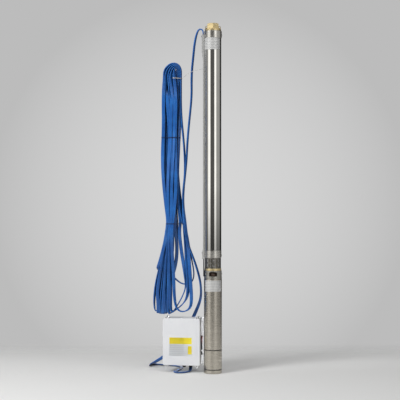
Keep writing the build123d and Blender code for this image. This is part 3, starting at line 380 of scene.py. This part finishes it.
def hankPoints():
    points = []
    for number, turn in enumerate(turns):
        arch = archOver(turn)
        follower = turns[number + 1] if number + 1 < len(turns) else None
        points += [*turn["low"], *frontStrand(number, turn), *arch]
        points += rearStrand(number, arch[-1], follower)
    return points


routePoints = [*leadPoints, *hankPoints(), *tailPoints]
wholeLine, wholeEdge = layRoute("cable", routePoints, cable["ringStep"])
cablePiece = sweepCable(
    "flatCable", wholeLine, wholeEdge, flatProfile(cable["width"], cable["thickness"], cable["groove"])
)
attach(cablePiece, "root")
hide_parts("lead_cable", "cable_hank", "tail_cable")


# Hang line: the thin cord that holds the top of the hank to the pump
hangLine = {
    "radius": 0.8,
    "sides": 8,
    "ringStep": 4.0,
    "lean": 90,
    "points": (
        (-127.3, 34.0, 1258.5), (-118.0, 22.0, 1265.0), (-106.0, 8.0, 1273.0), (-92.0, -3.0, 1280.0),
        (-73.0, -4.0, 1286.5), (-57.0, -2.0, 1289.5), (-42.7, 0.0, 1291.0),
    ),
}
lineRoute = [(x, y, z, hangLine["lean"]) for x, y, z in hangLine["points"]]
linePath, lineSides = layRoute("line", lineRoute, hangLine["ringStep"])
roundProfile = [
    (hangLine["radius"] * math.cos(angle), hangLine["radius"] * math.sin(angle))
    for angle in (math.tau * corner / hangLine["sides"] for corner in range(hangLine["sides"]))
]
hangPiece = sweepCable("hangLine", linePath, lineSides, roundProfile)
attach(hangPiece, "root")
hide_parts("hang_line")
print("hang line laid")


def addPiece(name, bm):  # a rigid piece on the root body, from a finished bmesh
    piece = makePiece(name, bm)
    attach(piece, "root")
    return piece


# Ties: thin nylon bands pulled round the strands, and a white one for the hang line
ties = {
    "wall": 0.9,
    "height": 2.6,
    "catch": 5.0,  # the strands are measured this far above and below
    "levels": ((1001.0, -230.0, -132.0), (633.0, -230.0, -112.0)),  # height, and the strands it holds
    "white": (1256.0, -168.5, -120.0),
    "lock": (5.0, 3.4, 4.4),
    "lockRound": 0.6,
}


def addTie(bm, level, leftEnd, rightEnd):
    near = [
        Vector((spot.x, spot.y)) for spot in (vertex.co for vertex in cablePiece.data.vertices)
        if abs(spot.z - level * mm) < ties["catch"] * mm and leftEnd * mm < spot.x < rightEnd * mm
    ]
    outline = [near[index] for index in geometry.convex_hull_2d(near)]
    foot = (level - ties["height"] / 2) * mm
    floorFace = bm.faces.new([bm.verts.new((spot.x, spot.y, foot)) for spot in outline])
    raised = bmesh.ops.extrude_face_region(bm, geom=[floorFace])["geom"]
    lifted = [item for item in raised if isinstance(item, bmesh.types.BMVert)]
    bmesh.ops.translate(bm, verts=lifted, vec=(0, 0, ties["height"] * mm))
    caps = [face for face in bm.faces if abs(face.normal.z) > 0.9 or face == floorFace]  # a band is open
    bmesh.ops.delete(bm, geom=caps, context="FACES_ONLY")
    nearest = min(outline, key=lambda spot: spot.y)
    return Vector((nearest.x, nearest.y, level * mm))


def makeTies(name, levels):
    whole = bmesh.new()
    for level, leftEnd, rightEnd in levels:
        bm = bmesh.new()
        lockPlace = addTie(bm, level, leftEnd, rightEnd)
        bmesh.ops.recalc_face_normals(bm, faces=bm.faces)
        bmesh.ops.solidify(bm, geom=bm.faces[:], thickness=-ties["wall"] * mm)
        lock = bmesh.ops.create_cube(bm, size=1.0)["verts"]
        bmesh.ops.scale(bm, verts=lock, vec=[side * mm for side in ties["lock"]])
        bmesh.ops.translate(bm, verts=lock, vec=lockPlace)
        lockEdges = {edge for vertex in lock for edge in vertex.link_edges}
        bmesh.ops.bevel(bm, geom=list(lockEdges), affect="EDGES", offset=ties["lockRound"] * mm, segments=2,
                        profile=0.5, material=-1)
        part = bpy.data.meshes.new("tiePart")
        bm.to_mesh(part)
        bm.free()
        whole.from_mesh(part)
        bpy.data.meshes.remove(part)
    return addPiece(name, whole)


tiePiece = makeTies("hankTies", ties["levels"])
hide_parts("hank_ties")
whiteTie = makeTies("whiteTie", (ties["white"],))
print("ties closed")


# Foil labels round the shells: node, foot, top, left and right turn from the front
foils = {
    "thickness": 0.15,
    "steps": 36,
    "pumpFoil": ("pump_shell", 1371.0, 1423.0, -78.0, 55.0),
    "motorFoil": ("motor_shell", 348.0, 395.0, -59.0, 63.0),
}


def wrapFoil(name):
    node, foot, top, start, end = foils[name]
    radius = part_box(node)[1][0] + foils["thickness"] * mm
    bm = bmesh.new()
    ends = [bm.verts.new((0, -radius, level * mm)) for level in (foot, top)]
    seam = bm.edges.new(ends)
    turned = Matrix.Rotation(math.radians(start), 4, "Z")
    bmesh.ops.transform(bm, matrix=turned, verts=ends)
    bmesh.ops.spin(bm, geom=[*ends, seam], axis=(0, 0, 1), cent=(0, 0, 0), angle=math.radians(end - start),
                   steps=foils["steps"], use_merge=False)
    bmesh.ops.recalc_face_normals(bm, faces=bm.faces)
    outward = sum(face.normal.dot(face.calc_center_median().normalized()) for face in bm.faces)
    if outward < 0:
        bmesh.ops.reverse_faces(bm, faces=bm.faces)
    bmesh.ops.solidify(bm, geom=bm.faces[:], thickness=foils["thickness"] * mm)
    return addPiece(name, bm)


foilPieces = [wrapFoil(name) for name in ("pumpFoil", "motorFoil")]

# Box label: white field, a plain yellow band and a small yellow block, on the box's own front
boxLabel = {
    "place": (-135.0, 10.0, 30.0),
    "turn": -10.0,
    "fields": (  # name, left, right, foot and top on the box, and how far it stands proud
        ("labelField", -51.5, 45.4, 41.0, 91.6, 0.15),
        ("labelBand", -51.5, 45.4, 91.6, 118.8, 0.2),
        ("labelBlock", 28.9, 45.4, 48.4, 83.0, 0.3),
    ),
}
boxPlace = Matrix.Translation([side * mm for side in boxLabel["place"]]) @ Matrix.Rotation(
    math.radians(boxLabel["turn"]), 4, "Z")
labelPieces = {}
for name, left, right, foot, top, proud in boxLabel["fields"]:
    bm = bmesh.new()
    corners = [(left, foot), (right, foot), (right, top), (left, top)]
    sheetFace = bm.faces.new([bm.verts.new((x * mm, -proud * mm, z * mm)) for x, z in corners])
    bmesh.ops.solidify(bm, geom=[sheetFace], thickness=proud * mm)
    bmesh.ops.transform(bm, matrix=boxPlace, verts=bm.verts)
    bmesh.ops.recalc_face_normals(bm, faces=bm.faces)
    labelPieces[name] = addPiece(name, bm)
print("labels laid")


# Rubber cord in the two motor grooves; its dark colour also stands in for the grooves' shade, as painted
# shade
seals = {"levels": (100.2, 17.2), "wire": 1.6, "sink": 0.2, "sides": 10, "steps": 72}


def makeSeals():
    bm = bmesh.new()
    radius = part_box("motor_shell")[1][0] - seals["sink"] * mm
    for level in seals["levels"]:
        circle = bmesh.ops.create_circle(bm, segments=seals["sides"], radius=seals["wire"] * mm)["verts"]
        bmesh.ops.rotate(bm, verts=circle, cent=(0, 0, 0), matrix=Matrix.Rotation(math.radians(90), 3, "X"))
        bmesh.ops.translate(bm, verts=circle, vec=(radius - seals["wire"] * mm, 0, level * mm))
        edges = list({edge for vertex in circle for edge in vertex.link_edges})
        bmesh.ops.spin(bm, geom=[*circle, *edges], axis=(0, 0, 1), cent=(0, 0, 0), angle=math.tau,
                       steps=seals["steps"], use_merge=True)
    faceOutward(bm)
    return addPiece("grooveShadeSeals", bm)


# Rubber hood of the sand slinger, seen through the windows of the bracket
slinger = {
    "profile": (  # radius and height
        (8.2, 424.6), (8.2, 427.4), (19.0, 427.0), (20.8, 425.6), (21.4, 423.0), (21.8, 413.2),
        (21.0, 412.4), (19.6, 412.6), (19.2, 422.4), (17.6, 424.2),
    ),
    "steps": 60,
}


def makeHood():
    bm = bmesh.new()
    ring = [bm.verts.new((radius * mm, 0, height * mm)) for radius, height in slinger["profile"]]
    edges = [bm.edges.new((first, second)) for first, second in zip(ring, [*ring[1:], ring[0]])]
    bmesh.ops.spin(bm, geom=[*ring, *edges], axis=(0, 0, 1), cent=(0, 0, 0), angle=math.tau,
                   steps=slinger["steps"], use_merge=True)
    faceOutward(bm)
    hood = makePiece("slingerHood", bm)
    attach(hood, "rotor")
    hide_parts("sand_slinger")
    return hood


hoodPiece = makeHood()
sealPiece = makeSeals()
print("seals fitted")


# Light: a pale studio with two tall soft boxes, drawn in the world so that the steel mirrors them
studio = {
    # the backdrop seen behind the pump is lighter in the middle than at its edges: a painted pool of light
    "middle": "#d6d6d6",
    "edge": "#bcbcbc",
    "glow": (0.984, 1.0),  # how squarely a ray meets the wall where it is all edge, and all middle
    "fill": 0.21,
    "mirror": 1.45,
    "floorShine": 0.6,
    "floorSlopes": (-0.08, -0.16),  # where the mirrored wall ends, and where it is all floor
    "softBoxes": (  # degrees to the right of the camera's side, level
        (-180, 0.5), (-168, 0.45), (-158, 0.02), (-116, 0.02), (-110, 0.25), (-74, 0.25), (-67, 1.0),
        (-39, 1.0), (-33, 0.08), (16, 0.08), (22, 1.0), (43, 1.0), (49, 0.28), (82, 0.3), (108, 0.2),
        (114, 0.02), (158, 0.02), (168, 0.45), (180, 0.5),
    ),
    "slopeRange": 0.2,  # the heights below reach this far down and up
    "boxHeights": (  # how bright the soft boxes are at each upward slope of the mirrored ray
        (-0.2, 0.3), (-0.09, 0.3), (-0.042, 0.4), (0.012, 1.0), (0.2, 1.0),
    ),
}
slopes = studio["slopeRange"]
world = bpy.data.worlds.new("studioWorld")
bpy.context.scene.world = world
world.use_nodes = True
worldTree = world.node_tree
worldTree.nodes.clear()
rayKind = addNode(worldTree, "ShaderNodeLightPath")
direction = addNode(worldTree, "ShaderNodeTexCoord")
split = addNode(worldTree, "ShaderNodeSeparateXYZ", {"Vector": direction.outputs["Generated"]})
middle = addNode(worldTree, "ShaderNodeMapRange", {"Value": split.outputs["Y"]},
                 {"From Min": studio["glow"][0], "From Max": studio["glow"][1]})
wall = addNode(worldTree, "ShaderNodeMix", {"Factor": middle.outputs[0]}, data_type="RGBA")
wall.inputs[6].default_value = linearRgb(studio["edge"])
wall.inputs[7].default_value = linearRgb(studio["middle"])
seen = addNode(worldTree, "ShaderNodeBackground", {"Color": wall.outputs[2]}, {"Strength": 1.0})
reverse = addNode(worldTree, "ShaderNodeMath", {0: split.outputs["Y"]}, {1: -1.0}, operation="MULTIPLY")
azimuth = addNode(worldTree, "ShaderNodeMath", {0: split.outputs["X"], 1: reverse.outputs[0]},
                  operation="ARCTAN2")
turn = addNode(worldTree, "ShaderNodeMapRange", {"Value": azimuth.outputs[0]},
               {"From Min": -math.pi, "From Max": math.pi})
bands = addNode(worldTree, "ShaderNodeValToRGB", {"Fac": turn.outputs[0]})
heightShare = addNode(worldTree, "ShaderNodeMapRange", {"Value": split.outputs["Z"]},
                      {"From Min": -slopes, "From Max": slopes})
rise = addNode(worldTree, "ShaderNodeValToRGB", {"Fac": heightShare.outputs[0]})
for ramp, stops in (
    (bands.color_ramp, [((degrees + 180) / 360, level) for degrees, level in studio["softBoxes"]]),
    (rise.color_ramp, [((slope + slopes) / (2 * slopes), level) for slope, level in studio["boxHeights"]]),
):
    ramp.elements.remove(ramp.elements[1])
    for place, level in stops:
        element = ramp.elements.new(place)
        element.color = (level, level, level, 1)
    ramp.elements.remove(ramp.elements[0])
shone = addNode(worldTree, "ShaderNodeMath", {0: rise.outputs["Color"]}, {1: studio["mirror"]},
                operation="MULTIPLY")
boxes = addNode(worldTree, "ShaderNodeBackground",
                {"Color": bands.outputs["Color"], "Strength": shone.outputs[0]})
shine = addNode(worldTree, "ShaderNodeBackground",
                values={"Color": (1, 1, 1, 1), "Strength": studio["floorShine"]})
lowShare = addNode(worldTree, "ShaderNodeMapRange", {"Value": split.outputs["Z"]},
                   {"From Min": studio["floorSlopes"][0], "From Max": studio["floorSlopes"][1]})
mirrored = addNode(worldTree, "ShaderNodeMixShader",
                   {"Fac": lowShare.outputs[0], 1: boxes.outputs[0], 2: shine.outputs[0]})
filled = addNode(worldTree, "ShaderNodeBackground",
                 values={"Color": (1, 1, 1, 1), "Strength": studio["fill"]})
glossy = addNode(worldTree, "ShaderNodeMixShader",
                 {"Fac": rayKind.outputs["Is Glossy Ray"], 1: filled.outputs[0], 2: mirrored.outputs[0]})
looked = addNode(worldTree, "ShaderNodeMixShader",
                 {"Fac": rayKind.outputs["Is Camera Ray"], 1: glossy.outputs[0], 2: seen.outputs[0]})
addNode(worldTree, "ShaderNodeOutputWorld", {"Surface": looked.outputs[0]})

lamps = {  # place, size, power, spread in degrees and what it is aimed at
    "keyLamp": ((-2.6, -2.6, 2.3), 1.2, 124, 180, (-0.05, 0.0, 0.6)),
    "sideLamp": ((0.9, -3.4, 1.4), 1.2, 9, 180, (-0.05, 0.0, 0.6)),
    "topLamp": ((0.2, -0.6, 3.6), 2.0, 42, 180, (-0.05, 0.0, 0.6)),
    "lowLamp": ((1.5, 0.5, 0.2), 0.3, 0.36, 18, (-0.06, 0.08, 0.13)),  # for the side of the box
}
for name, (place, size, power, spread, aim) in lamps.items():
    lampData = bpy.data.lights.new(name, "AREA")
    lampData.size = size
    lampData.energy = power
    lampData.spread = math.radians(spread)
    lamp = bpy.data.objects.new(name, lampData)
    lamp.location = place
    lamp.rotation_euler = (Vector(aim) - Vector(place)).to_track_quat("-Z", "Y").to_euler()
    lamp.visible_glossy = False
    bpy.context.scene.collection.objects.link(lamp)

# Floor: pale paint that keeps the shadow and fades into the wall, far off and at its rim
paint = {
    "colour": "#dfdfde",
    "roughness": 0.8,
    "shine": 0.2,
    "radius": 3.0,
    "sides": 96,
    "farFade": (0.3, 1.1),
    "rimFade": (1.4, 2.8),
}
bm = bmesh.new()
bmesh.ops.create_circle(bm, cap_ends=True, segments=paint["sides"], radius=paint["radius"])
floor = makePiece("studioFloor", bm)
floorMaterial = bpy.data.materials.new("pale studio paint")
floorMaterial.use_nodes = True
floorTree = floorMaterial.node_tree
paintShader = floorTree.nodes["Principled BSDF"]
paintShader.inputs["Base Color"].default_value = linearRgb(paint["colour"])
paintShader.inputs["Roughness"].default_value = paint["roughness"]
paintShader.inputs["Specular IOR Level"].default_value = paint["shine"]
floorCoord = addNode(floorTree, "ShaderNodeTexCoord")
floorSplit = addNode(floorTree, "ShaderNodeSeparateXYZ", {"Vector": floorCoord.outputs["Object"]})
farFade = addNode(floorTree, "ShaderNodeMapRange", {"Value": floorSplit.outputs["Y"]},
                  {"From Min": paint["farFade"][0], "From Max": paint["farFade"][1]},
                  interpolation_type="SMOOTHSTEP")
reach = addNode(floorTree, "ShaderNodeVectorMath", {0: floorCoord.outputs["Object"]}, operation="LENGTH")
rimFade = addNode(floorTree, "ShaderNodeMapRange", {"Value": reach.outputs["Value"]},
                  {"From Min": paint["rimFade"][0], "From Max": paint["rimFade"][1]},
                  interpolation_type="SMOOTHSTEP")
fade = addNode(floorTree, "ShaderNodeMath", {0: farFade.outputs[0], 1: rimFade.outputs[0]},
               operation="MAXIMUM")
clear = addNode(floorTree, "ShaderNodeBsdfTransparent")
blended = addNode(floorTree, "ShaderNodeMixShader",
                  {"Fac": fade.outputs[0], 1: paintShader.outputs[0], 2: clear.outputs[0]})
floorTree.links.new(blended.outputs[0], floorTree.nodes["Material Output"].inputs["Surface"])
floor.data.materials.append(floorMaterial)
print("studio lit")


# Finishes. Each grain is a noise of a real size in millimetres, stretched along the way it was worked
def startFinish(name, colour, metallic, roughness, ior=None, shine=None, clear=None):
    material = bpy.data.materials.new(name)
    material.use_nodes = True
    shader = material.node_tree.nodes["Principled BSDF"]
    shader.inputs["Base Color"].default_value = linearRgb(colour)
    shader.inputs["Metallic"].default_value = metallic
    shader.inputs["Roughness"].default_value = roughness
    for socket, value in (("IOR", ior), ("Specular IOR Level", shine), ("Transmission Weight", clear)):
        if value is not None:
            shader.inputs[socket].default_value = value
    return material


grain = {"detail": 3.0, "softness": 0.6, "low": 0.35, "high": 0.65}  # shared by all the finishes


def addGrain(material, size, stretch=(1, 1, 1), tone=None, share=0.5, rough=None, bump=0.0):
    ends = {"From Min": grain["low"], "From Max": grain["high"]}
    tree = material.node_tree
    shader = tree.nodes["Principled BSDF"]
    coords = addNode(tree, "ShaderNodeTexCoord")
    place = addNode(tree, "ShaderNodeMapping", {"Vector": coords.outputs["Object"]})
    place.inputs["Scale"].default_value = stretch
    noise = addNode(tree, "ShaderNodeTexNoise", {"Vector": place.outputs[0]},
                    {"Scale": 1 / (size * mm), "Detail": grain["detail"], "Roughness": grain["softness"]})
    if tone:
        spread = addNode(tree, "ShaderNodeMapRange", {"Value": noise.outputs["Fac"]}, ends)
        colour = shader.inputs["Base Color"]
        mix = addNode(tree, "ShaderNodeMix", data_type="RGBA")
        amount = addNode(tree, "ShaderNodeMath", {0: spread.outputs[0]}, {1: share}, operation="MULTIPLY")
        tree.links.new(amount.outputs[0], mix.inputs[0])
        if colour.is_linked:
            tree.links.new(colour.links[0].from_socket, mix.inputs[6])
        else:
            mix.inputs[6].default_value = colour.default_value
        mix.inputs[7].default_value = linearRgb(tone)
        tree.links.new(mix.outputs[2], colour)
    if rough:
        grade = addNode(tree, "ShaderNodeMapRange", {"Value": noise.outputs["Fac"]},
                        {**ends, "To Min": rough[0], "To Max": rough[1]})
        tree.links.new(grade.outputs[0], shader.inputs["Roughness"])
    if bump:
        relief = addNode(tree, "ShaderNodeBump", {"Height": noise.outputs["Fac"]},
                         {"Strength": 1.0, "Distance": bump * mm})
        if shader.inputs["Normal"].is_linked:
            tree.links.new(shader.inputs["Normal"].links[0].from_socket, relief.inputs["Normal"])
        tree.links.new(relief.outputs[0], shader.inputs["Normal"])


def addRules(material, start, pitch, width, tone):  # thin level lines, spaced in millimetres of height
    tree = material.node_tree
    shader = tree.nodes["Principled BSDF"]
    coords = addNode(tree, "ShaderNodeTexCoord")
    split = addNode(tree, "ShaderNodeSeparateXYZ", {"Vector": coords.outputs["Object"]})
    rise = addNode(tree, "ShaderNodeMath", {0: split.outputs["Z"]}, {1: start * mm}, operation="SUBTRACT")
    count = addNode(tree, "ShaderNodeMath", {0: rise.outputs[0]}, {1: pitch * mm}, operation="DIVIDE")
    part = addNode(tree, "ShaderNodeMath", {0: count.outputs[0]}, operation="FRACT")
    line = addNode(tree, "ShaderNodeMath", {0: part.outputs[0]}, {1: width / pitch}, operation="LESS_THAN")
    mix = addNode(tree, "ShaderNodeMix", {0: line.outputs[0]}, data_type="RGBA")
    mix.inputs[6].default_value = shader.inputs["Base Color"].default_value
    mix.inputs[7].default_value = linearRgb(tone)
    tree.links.new(mix.outputs[2], shader.inputs["Base Color"])


def addCrevices(material, reach, low, high, tone):  # painted shade: darkens the colour where surfaces lie close together, where shade falls
    tree = material.node_tree
    colour = tree.nodes["Principled BSDF"].inputs["Base Color"]
    openness = addNode(tree, "ShaderNodeAmbientOcclusion", values={"Distance": reach * mm}, samples=6)
    spread = addNode(tree, "ShaderNodeMapRange", {"Value": openness.outputs["AO"]},
                     {"From Min": low, "From Max": high})
    mix = addNode(tree, "ShaderNodeMix", {0: spread.outputs[0], 7: colour.links[0].from_socket},
                  data_type="RGBA")
    mix.inputs[6].default_value = linearRgb(tone)
    tree.links.new(mix.outputs[2], colour)


turnedMarks = (0.04, 0.04, 1.0)  # fine lines round the axis
drawnMarks = (1.0, 1.0, 0.02)  # fine lines along the axis

# Drawn stainless tube, polished until it mirrors; faint draw lines run down it
mirrorSteel = startFinish("mirror polished stainless tube", "#dcdad4", 1.0, 0.06)
addGrain(mirrorSteel, 2.0, drawnMarks, rough=(0.045, 0.1), bump=0.004)
addGrain(mirrorSteel, 60, tone="#c9c7c0", share=0.35)
# painted shade: the tube's colour darkens where other pieces lie close to it
addCrevices(mirrorSteel, 9.0, 0.6, 0.95, "#101010")

# Satin stainless motor shell: a brushed greyish beige with marks of the belt round it
satinSteel = startFinish("belt ground stainless", "#c6c0b4", 1.0, 0.28)
addGrain(satinSteel, 1.6, turnedMarks, rough=(0.24, 0.32), bump=0.004)
addGrain(satinSteel, 22, (0.35, 0.35, 1.6), tone="#a8a196", share=0.35)

# Turned stainless rings: brighter, with the lathe's lines
turnedSteel = startFinish("turned stainless", "#dcd9d1", 1.0, 0.28)
addGrain(turnedSteel, 1.2, turnedMarks, rough=(0.23, 0.35), bump=0.006)
addGrain(turnedSteel, 18, tone="#bcb8af", share=0.3)

# Shafts and coupling: plain ground steel under a film of oil
shaftSteel = startFinish("oiled ground steel", "#5f5d5a", 1.0, 0.42)
addGrain(shaftSteel, 1.0, turnedMarks, rough=(0.36, 0.5), bump=0.006)
addGrain(shaftSteel, 7, tone="#42403e", share=0.5)

# Bracket and bearing carrier: precision cast stainless, ground on the outside
castSteel = startFinish("cast stainless", "#bdbab0", 1.0, 0.38)
addGrain(castSteel, 1.4, turnedMarks, rough=(0.34, 0.46), bump=0.008)
addGrain(castSteel, 9, tone="#8a8781", share=0.5)

# Pickled strainer sheet, brownish and dull
strainerSteel = startFinish("pickled stainless sheet", "#93908a", 1.0, 0.38)
addGrain(strainerSteel, 1.0, drawnMarks, rough=(0.3, 0.45), bump=0.01)
addGrain(strainerSteel, 7, tone="#595650", share=0.6)

# Folded guard sheet, bright rolled
guardSteel = startFinish("bright rolled sheet", "#d2d2d0", 0.6, 0.4)
addGrain(guardSteel, 1.5, drawnMarks, rough=(0.3, 0.42), bump=0.006)
addGrain(guardSteel, 14, tone="#b9bab8", share=0.35)
addCrevices(guardSteel, 8.0, 0.55, 0.85, "#121212")  # painted shade in the seam between guard and shell

# Brass casting, machined on the hexagon, a little dull in the corners
castBrass = startFinish("machined brass", "#f6e2b0", 1.0, 0.42)
addGrain(castBrass, 1.5, turnedMarks, rough=(0.34, 0.48), bump=0.008)
addGrain(castBrass, 8, tone="#d8ba7a", share=0.45)

# Zinc plated screws
plainScrew = startFinish("zinc plated steel", "#c4c4c2", 1.0, 0.25)
addGrain(plainScrew, 1.0, rough=(0.2, 0.35), bump=0.006)
addGrain(plainScrew, 3, tone="#8e8d88", share=0.4)

# Cable jacket: smooth blue PVC that shines a little, dusty in places, with painted shade between the strands
blueJacket = startFinish("extruded blue PVC", "#1f5ca8", 0.0, 0.29, ior=1.53)
addGrain(blueJacket, 0.9, (1, 1, 0.2), rough=(0.24, 0.36), bump=0.015)
addGrain(blueJacket, 35, tone="#3078c2", share=0.45)
addGrain(blueJacket, 120, tone="#123a78", share=0.5)
# painted shade: the jacket darkens to near-black navy where the strands of the hank lie close
addCrevices(blueJacket, 30.0, 0.3, 0.85, "#050f26")

# Box: moulded grey-white ABS with the mould's fine spark texture
greyAbs = startFinish("spark textured ABS", "#dddee0", 0.0, 0.42, ior=1.54, shine=0.35)
addGrain(greyAbs, 0.8, rough=(0.36, 0.5), bump=0.03)
addGrain(greyAbs, 70, tone="#d2d3d7", share=0.5)

# Switch, breaker and glands: black mouldings, deep and half dull
blackPolyamide = startFinish("moulded black polyamide", "#060607", 0.0, 0.4, ior=1.53, shine=0.3)
addGrain(blackPolyamide, 0.7, rough=(0.28, 0.45), bump=0.02)
addGrain(blackPolyamide, 9, tone="#0e0f11", share=0.6)

# Rocker: dark red and glossy, with a faint swirl from the mould
redPlastic = startFinish("glossy red polycarbonate", "#8a0c20", 0.0, 0.2, ior=1.58)
addGrain(redPlastic, 1.2, rough=(0.15, 0.28), bump=0.01)
addGrain(redPlastic, 12, tone="#6a0816", share=0.5)

# Seals, gasket and plugs: matt black with a fine skin
softRubber = startFinish("moulded nitrile rubber", "#1b1b1c", 0.0, 0.6, ior=1.52)
addGrain(softRubber, 0.8, rough=(0.5, 0.7), bump=0.02)
addGrain(softRubber, 6, tone="#2a2a2b", share=0.6)

# Slinger: dull brown, softly mottled
brownRubber = startFinish("brown chloroprene rubber", "#57473f", 0.0, 0.5, ior=1.52)
addGrain(brownRubber, 0.8, rough=(0.42, 0.6), bump=0.02)
addGrain(brownRubber, 5, tone="#3f332d", share=0.6)

# Hang line and its tie: milky and a little clear
whiteLine = startFinish("clear nylon line", "#d8d8d4", 0.0, 0.3, ior=1.53, clear=0.3)
addGrain(whiteLine, 1.0, rough=(0.22, 0.4), bump=0.01)

# Ties of the hank: blue, so dark that they look black in the shade
blueTie = startFinish("dark blue nylon tie", "#14264f", 0.0, 0.4, ior=1.53)
addGrain(blueTie, 0.8, rough=(0.32, 0.5), bump=0.02)
addGrain(blueTie, 6, tone="#0d1a38", share=0.5)

# Windings: warm, glossy copper with fine ridges of wire
copperWire = startFinish("lacquered copper wire", "#b5652f", 1.0, 0.3)
addGrain(copperWire, 0.8, (1, 1, 0.15), rough=(0.24, 0.42), bump=0.05)
addGrain(copperWire, 5, tone="#7d3e18", share=0.6)

# Cores: grey plates whose edges show as lines round the stack
lamination = startFinish("stacked core plates", "#7d7a76", 1.0, 0.45)
addGrain(lamination, 0.5, turnedMarks, rough=(0.38, 0.55), bump=0.03)
addGrain(lamination, 10, tone="#5a5754", share=0.5)

# Bushes and pads: near black, with a dull metal shine
carbonBush = startFinish("sintered carbon", "#232326", 0.2, 0.4)
addGrain(carbonBush, 0.4, rough=(0.32, 0.5), bump=0.01)
addGrain(carbonBush, 4, tone="#34343a", share=0.5)

# Bowls, spider and valve: cream plastic with a silky surface
stagePlastic = startFinish("moulded cream polyphenylene", "#d8d0b8", 0.0, 0.4, ior=1.55)
addGrain(stagePlastic, 0.9, rough=(0.34, 0.5), bump=0.015)
addGrain(stagePlastic, 16, tone="#c7bd9f", share=0.5)

# Impellers: charcoal plastic, smooth from polished tools
wheelPlastic = startFinish("moulded black acetal", "#26282b", 0.0, 0.34, ior=1.48)
addGrain(wheelPlastic, 0.9, rough=(0.28, 0.42), bump=0.015)
addGrain(wheelPlastic, 12, tone="#36393d", share=0.5)

# Capacitor: pale can with draw lines up its side
canMetal = startFinish("drawn aluminium", "#bfc1c4", 1.0, 0.3)
addGrain(canMetal, 1.0, drawnMarks, rough=(0.24, 0.38), bump=0.008)
addGrain(canMetal, 15, tone="#a3a5a8", share=0.35)

# Terminals: plain grey plastic, matt and even
blockPlastic = startFinish("moulded grey polyamide", "#9fa3a6", 0.0, 0.45, ior=1.53)
addGrain(blockPlastic, 0.8, rough=(0.38, 0.55), bump=0.02)
addGrain(blockPlastic, 10, tone="#868a8d", share=0.5)

# Foil labels: satin silver with thin grey rules
silverFoil = startFinish("satin printed foil", "#d3d3d1", 0.35, 0.4)
addGrain(silverFoil, 1.0, rough=(0.32, 0.46), bump=0.004)
addRules(silverFoil, 0.0, 6.5, 1.1, "#85868a")

# Box label: paper white with faint rules, and plain yellow beside it
whiteVinyl = startFinish("matt white vinyl", "#eaecee", 0.0, 0.45, ior=1.5)
addGrain(whiteVinyl, 1.0, rough=(0.38, 0.52), bump=0.004)
addRules(whiteVinyl, 2.0, 8.6, 1.1, "#cdd0d4")

yellowVinyl = startFinish("matt yellow vinyl", "#fff14a", 0.0, 0.42, ior=1.5)
addGrain(yellowVinyl, 1.0, rough=(0.36, 0.5), bump=0.004)
addGrain(yellowVinyl, 8, tone="#f8e63a", share=0.3)

finishes = (
    (mirrorSteel, "pump_shell"),
    (turnedSteel, "suction_collar head_ring thrust_plate thrust_runner"),
    (shaftSteel, "pump_shaft coupling motor_shaft shaft_sleeves"),
    (satinSteel, "motor_shell lower_housing base_cover"),
    (castSteel, "motor_bracket bearing_carrier"),
    (castBrass, "discharge_head valve_seat suction_bracket"),
    (strainerSteel, "inlet_strainer strainer_seam"),
    (guardSteel, "cable_guard"),
    (plainScrew, "seam_rivets guard_screws ring_screws lid_screws side_screw"),
    (greyAbs, "box_base box_lid"),
    (blackPolyamide, "switch_frame breaker reset_button cable_glands gland_nuts"),
    (redPlastic, "rocker"),
    (softRubber, "lead_plug motor_lead pressure_diaphragm shaft_seal lid_gasket"),
    (copperWire, "stator_windings"),
    (lamination, "stator_core rotor_core"),
    (carbonBush, "thrust_pads lower_bush upper_bush spider_bush"),
    (stagePlastic, "diffuser_bowls bearing_spider valve_guide valve_poppet"),
    (wheelPlastic, "impellers"),
    (canMetal, "capacitor capacitor_clip"),
    (blockPlastic, "terminal_block"),
)


def wear(piece, material):
    if not piece.material_slots:
        piece.data.materials.append(material)
    for holder in piece.material_slots:
        holder.material = material


for material, names in finishes:
    for name in names.split():
        wear(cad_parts[name], material)
wear(cablePiece, blueJacket)
wear(hangPiece, whiteLine)
wear(whiteTie, whiteLine)
wear(tiePiece, blueTie)
wear(sealPiece, softRubber)
wear(hoodPiece, brownRubber)
for piece in foilPieces:
    wear(piece, silverFoil)
wear(labelPieces["labelField"], whiteVinyl)
wear(labelPieces["labelBand"], yellowVinyl)
wear(labelPieces["labelBlock"], yellowVinyl)
print("finishes given to", sum(len(names.split()) for material, names in finishes), "nodes")
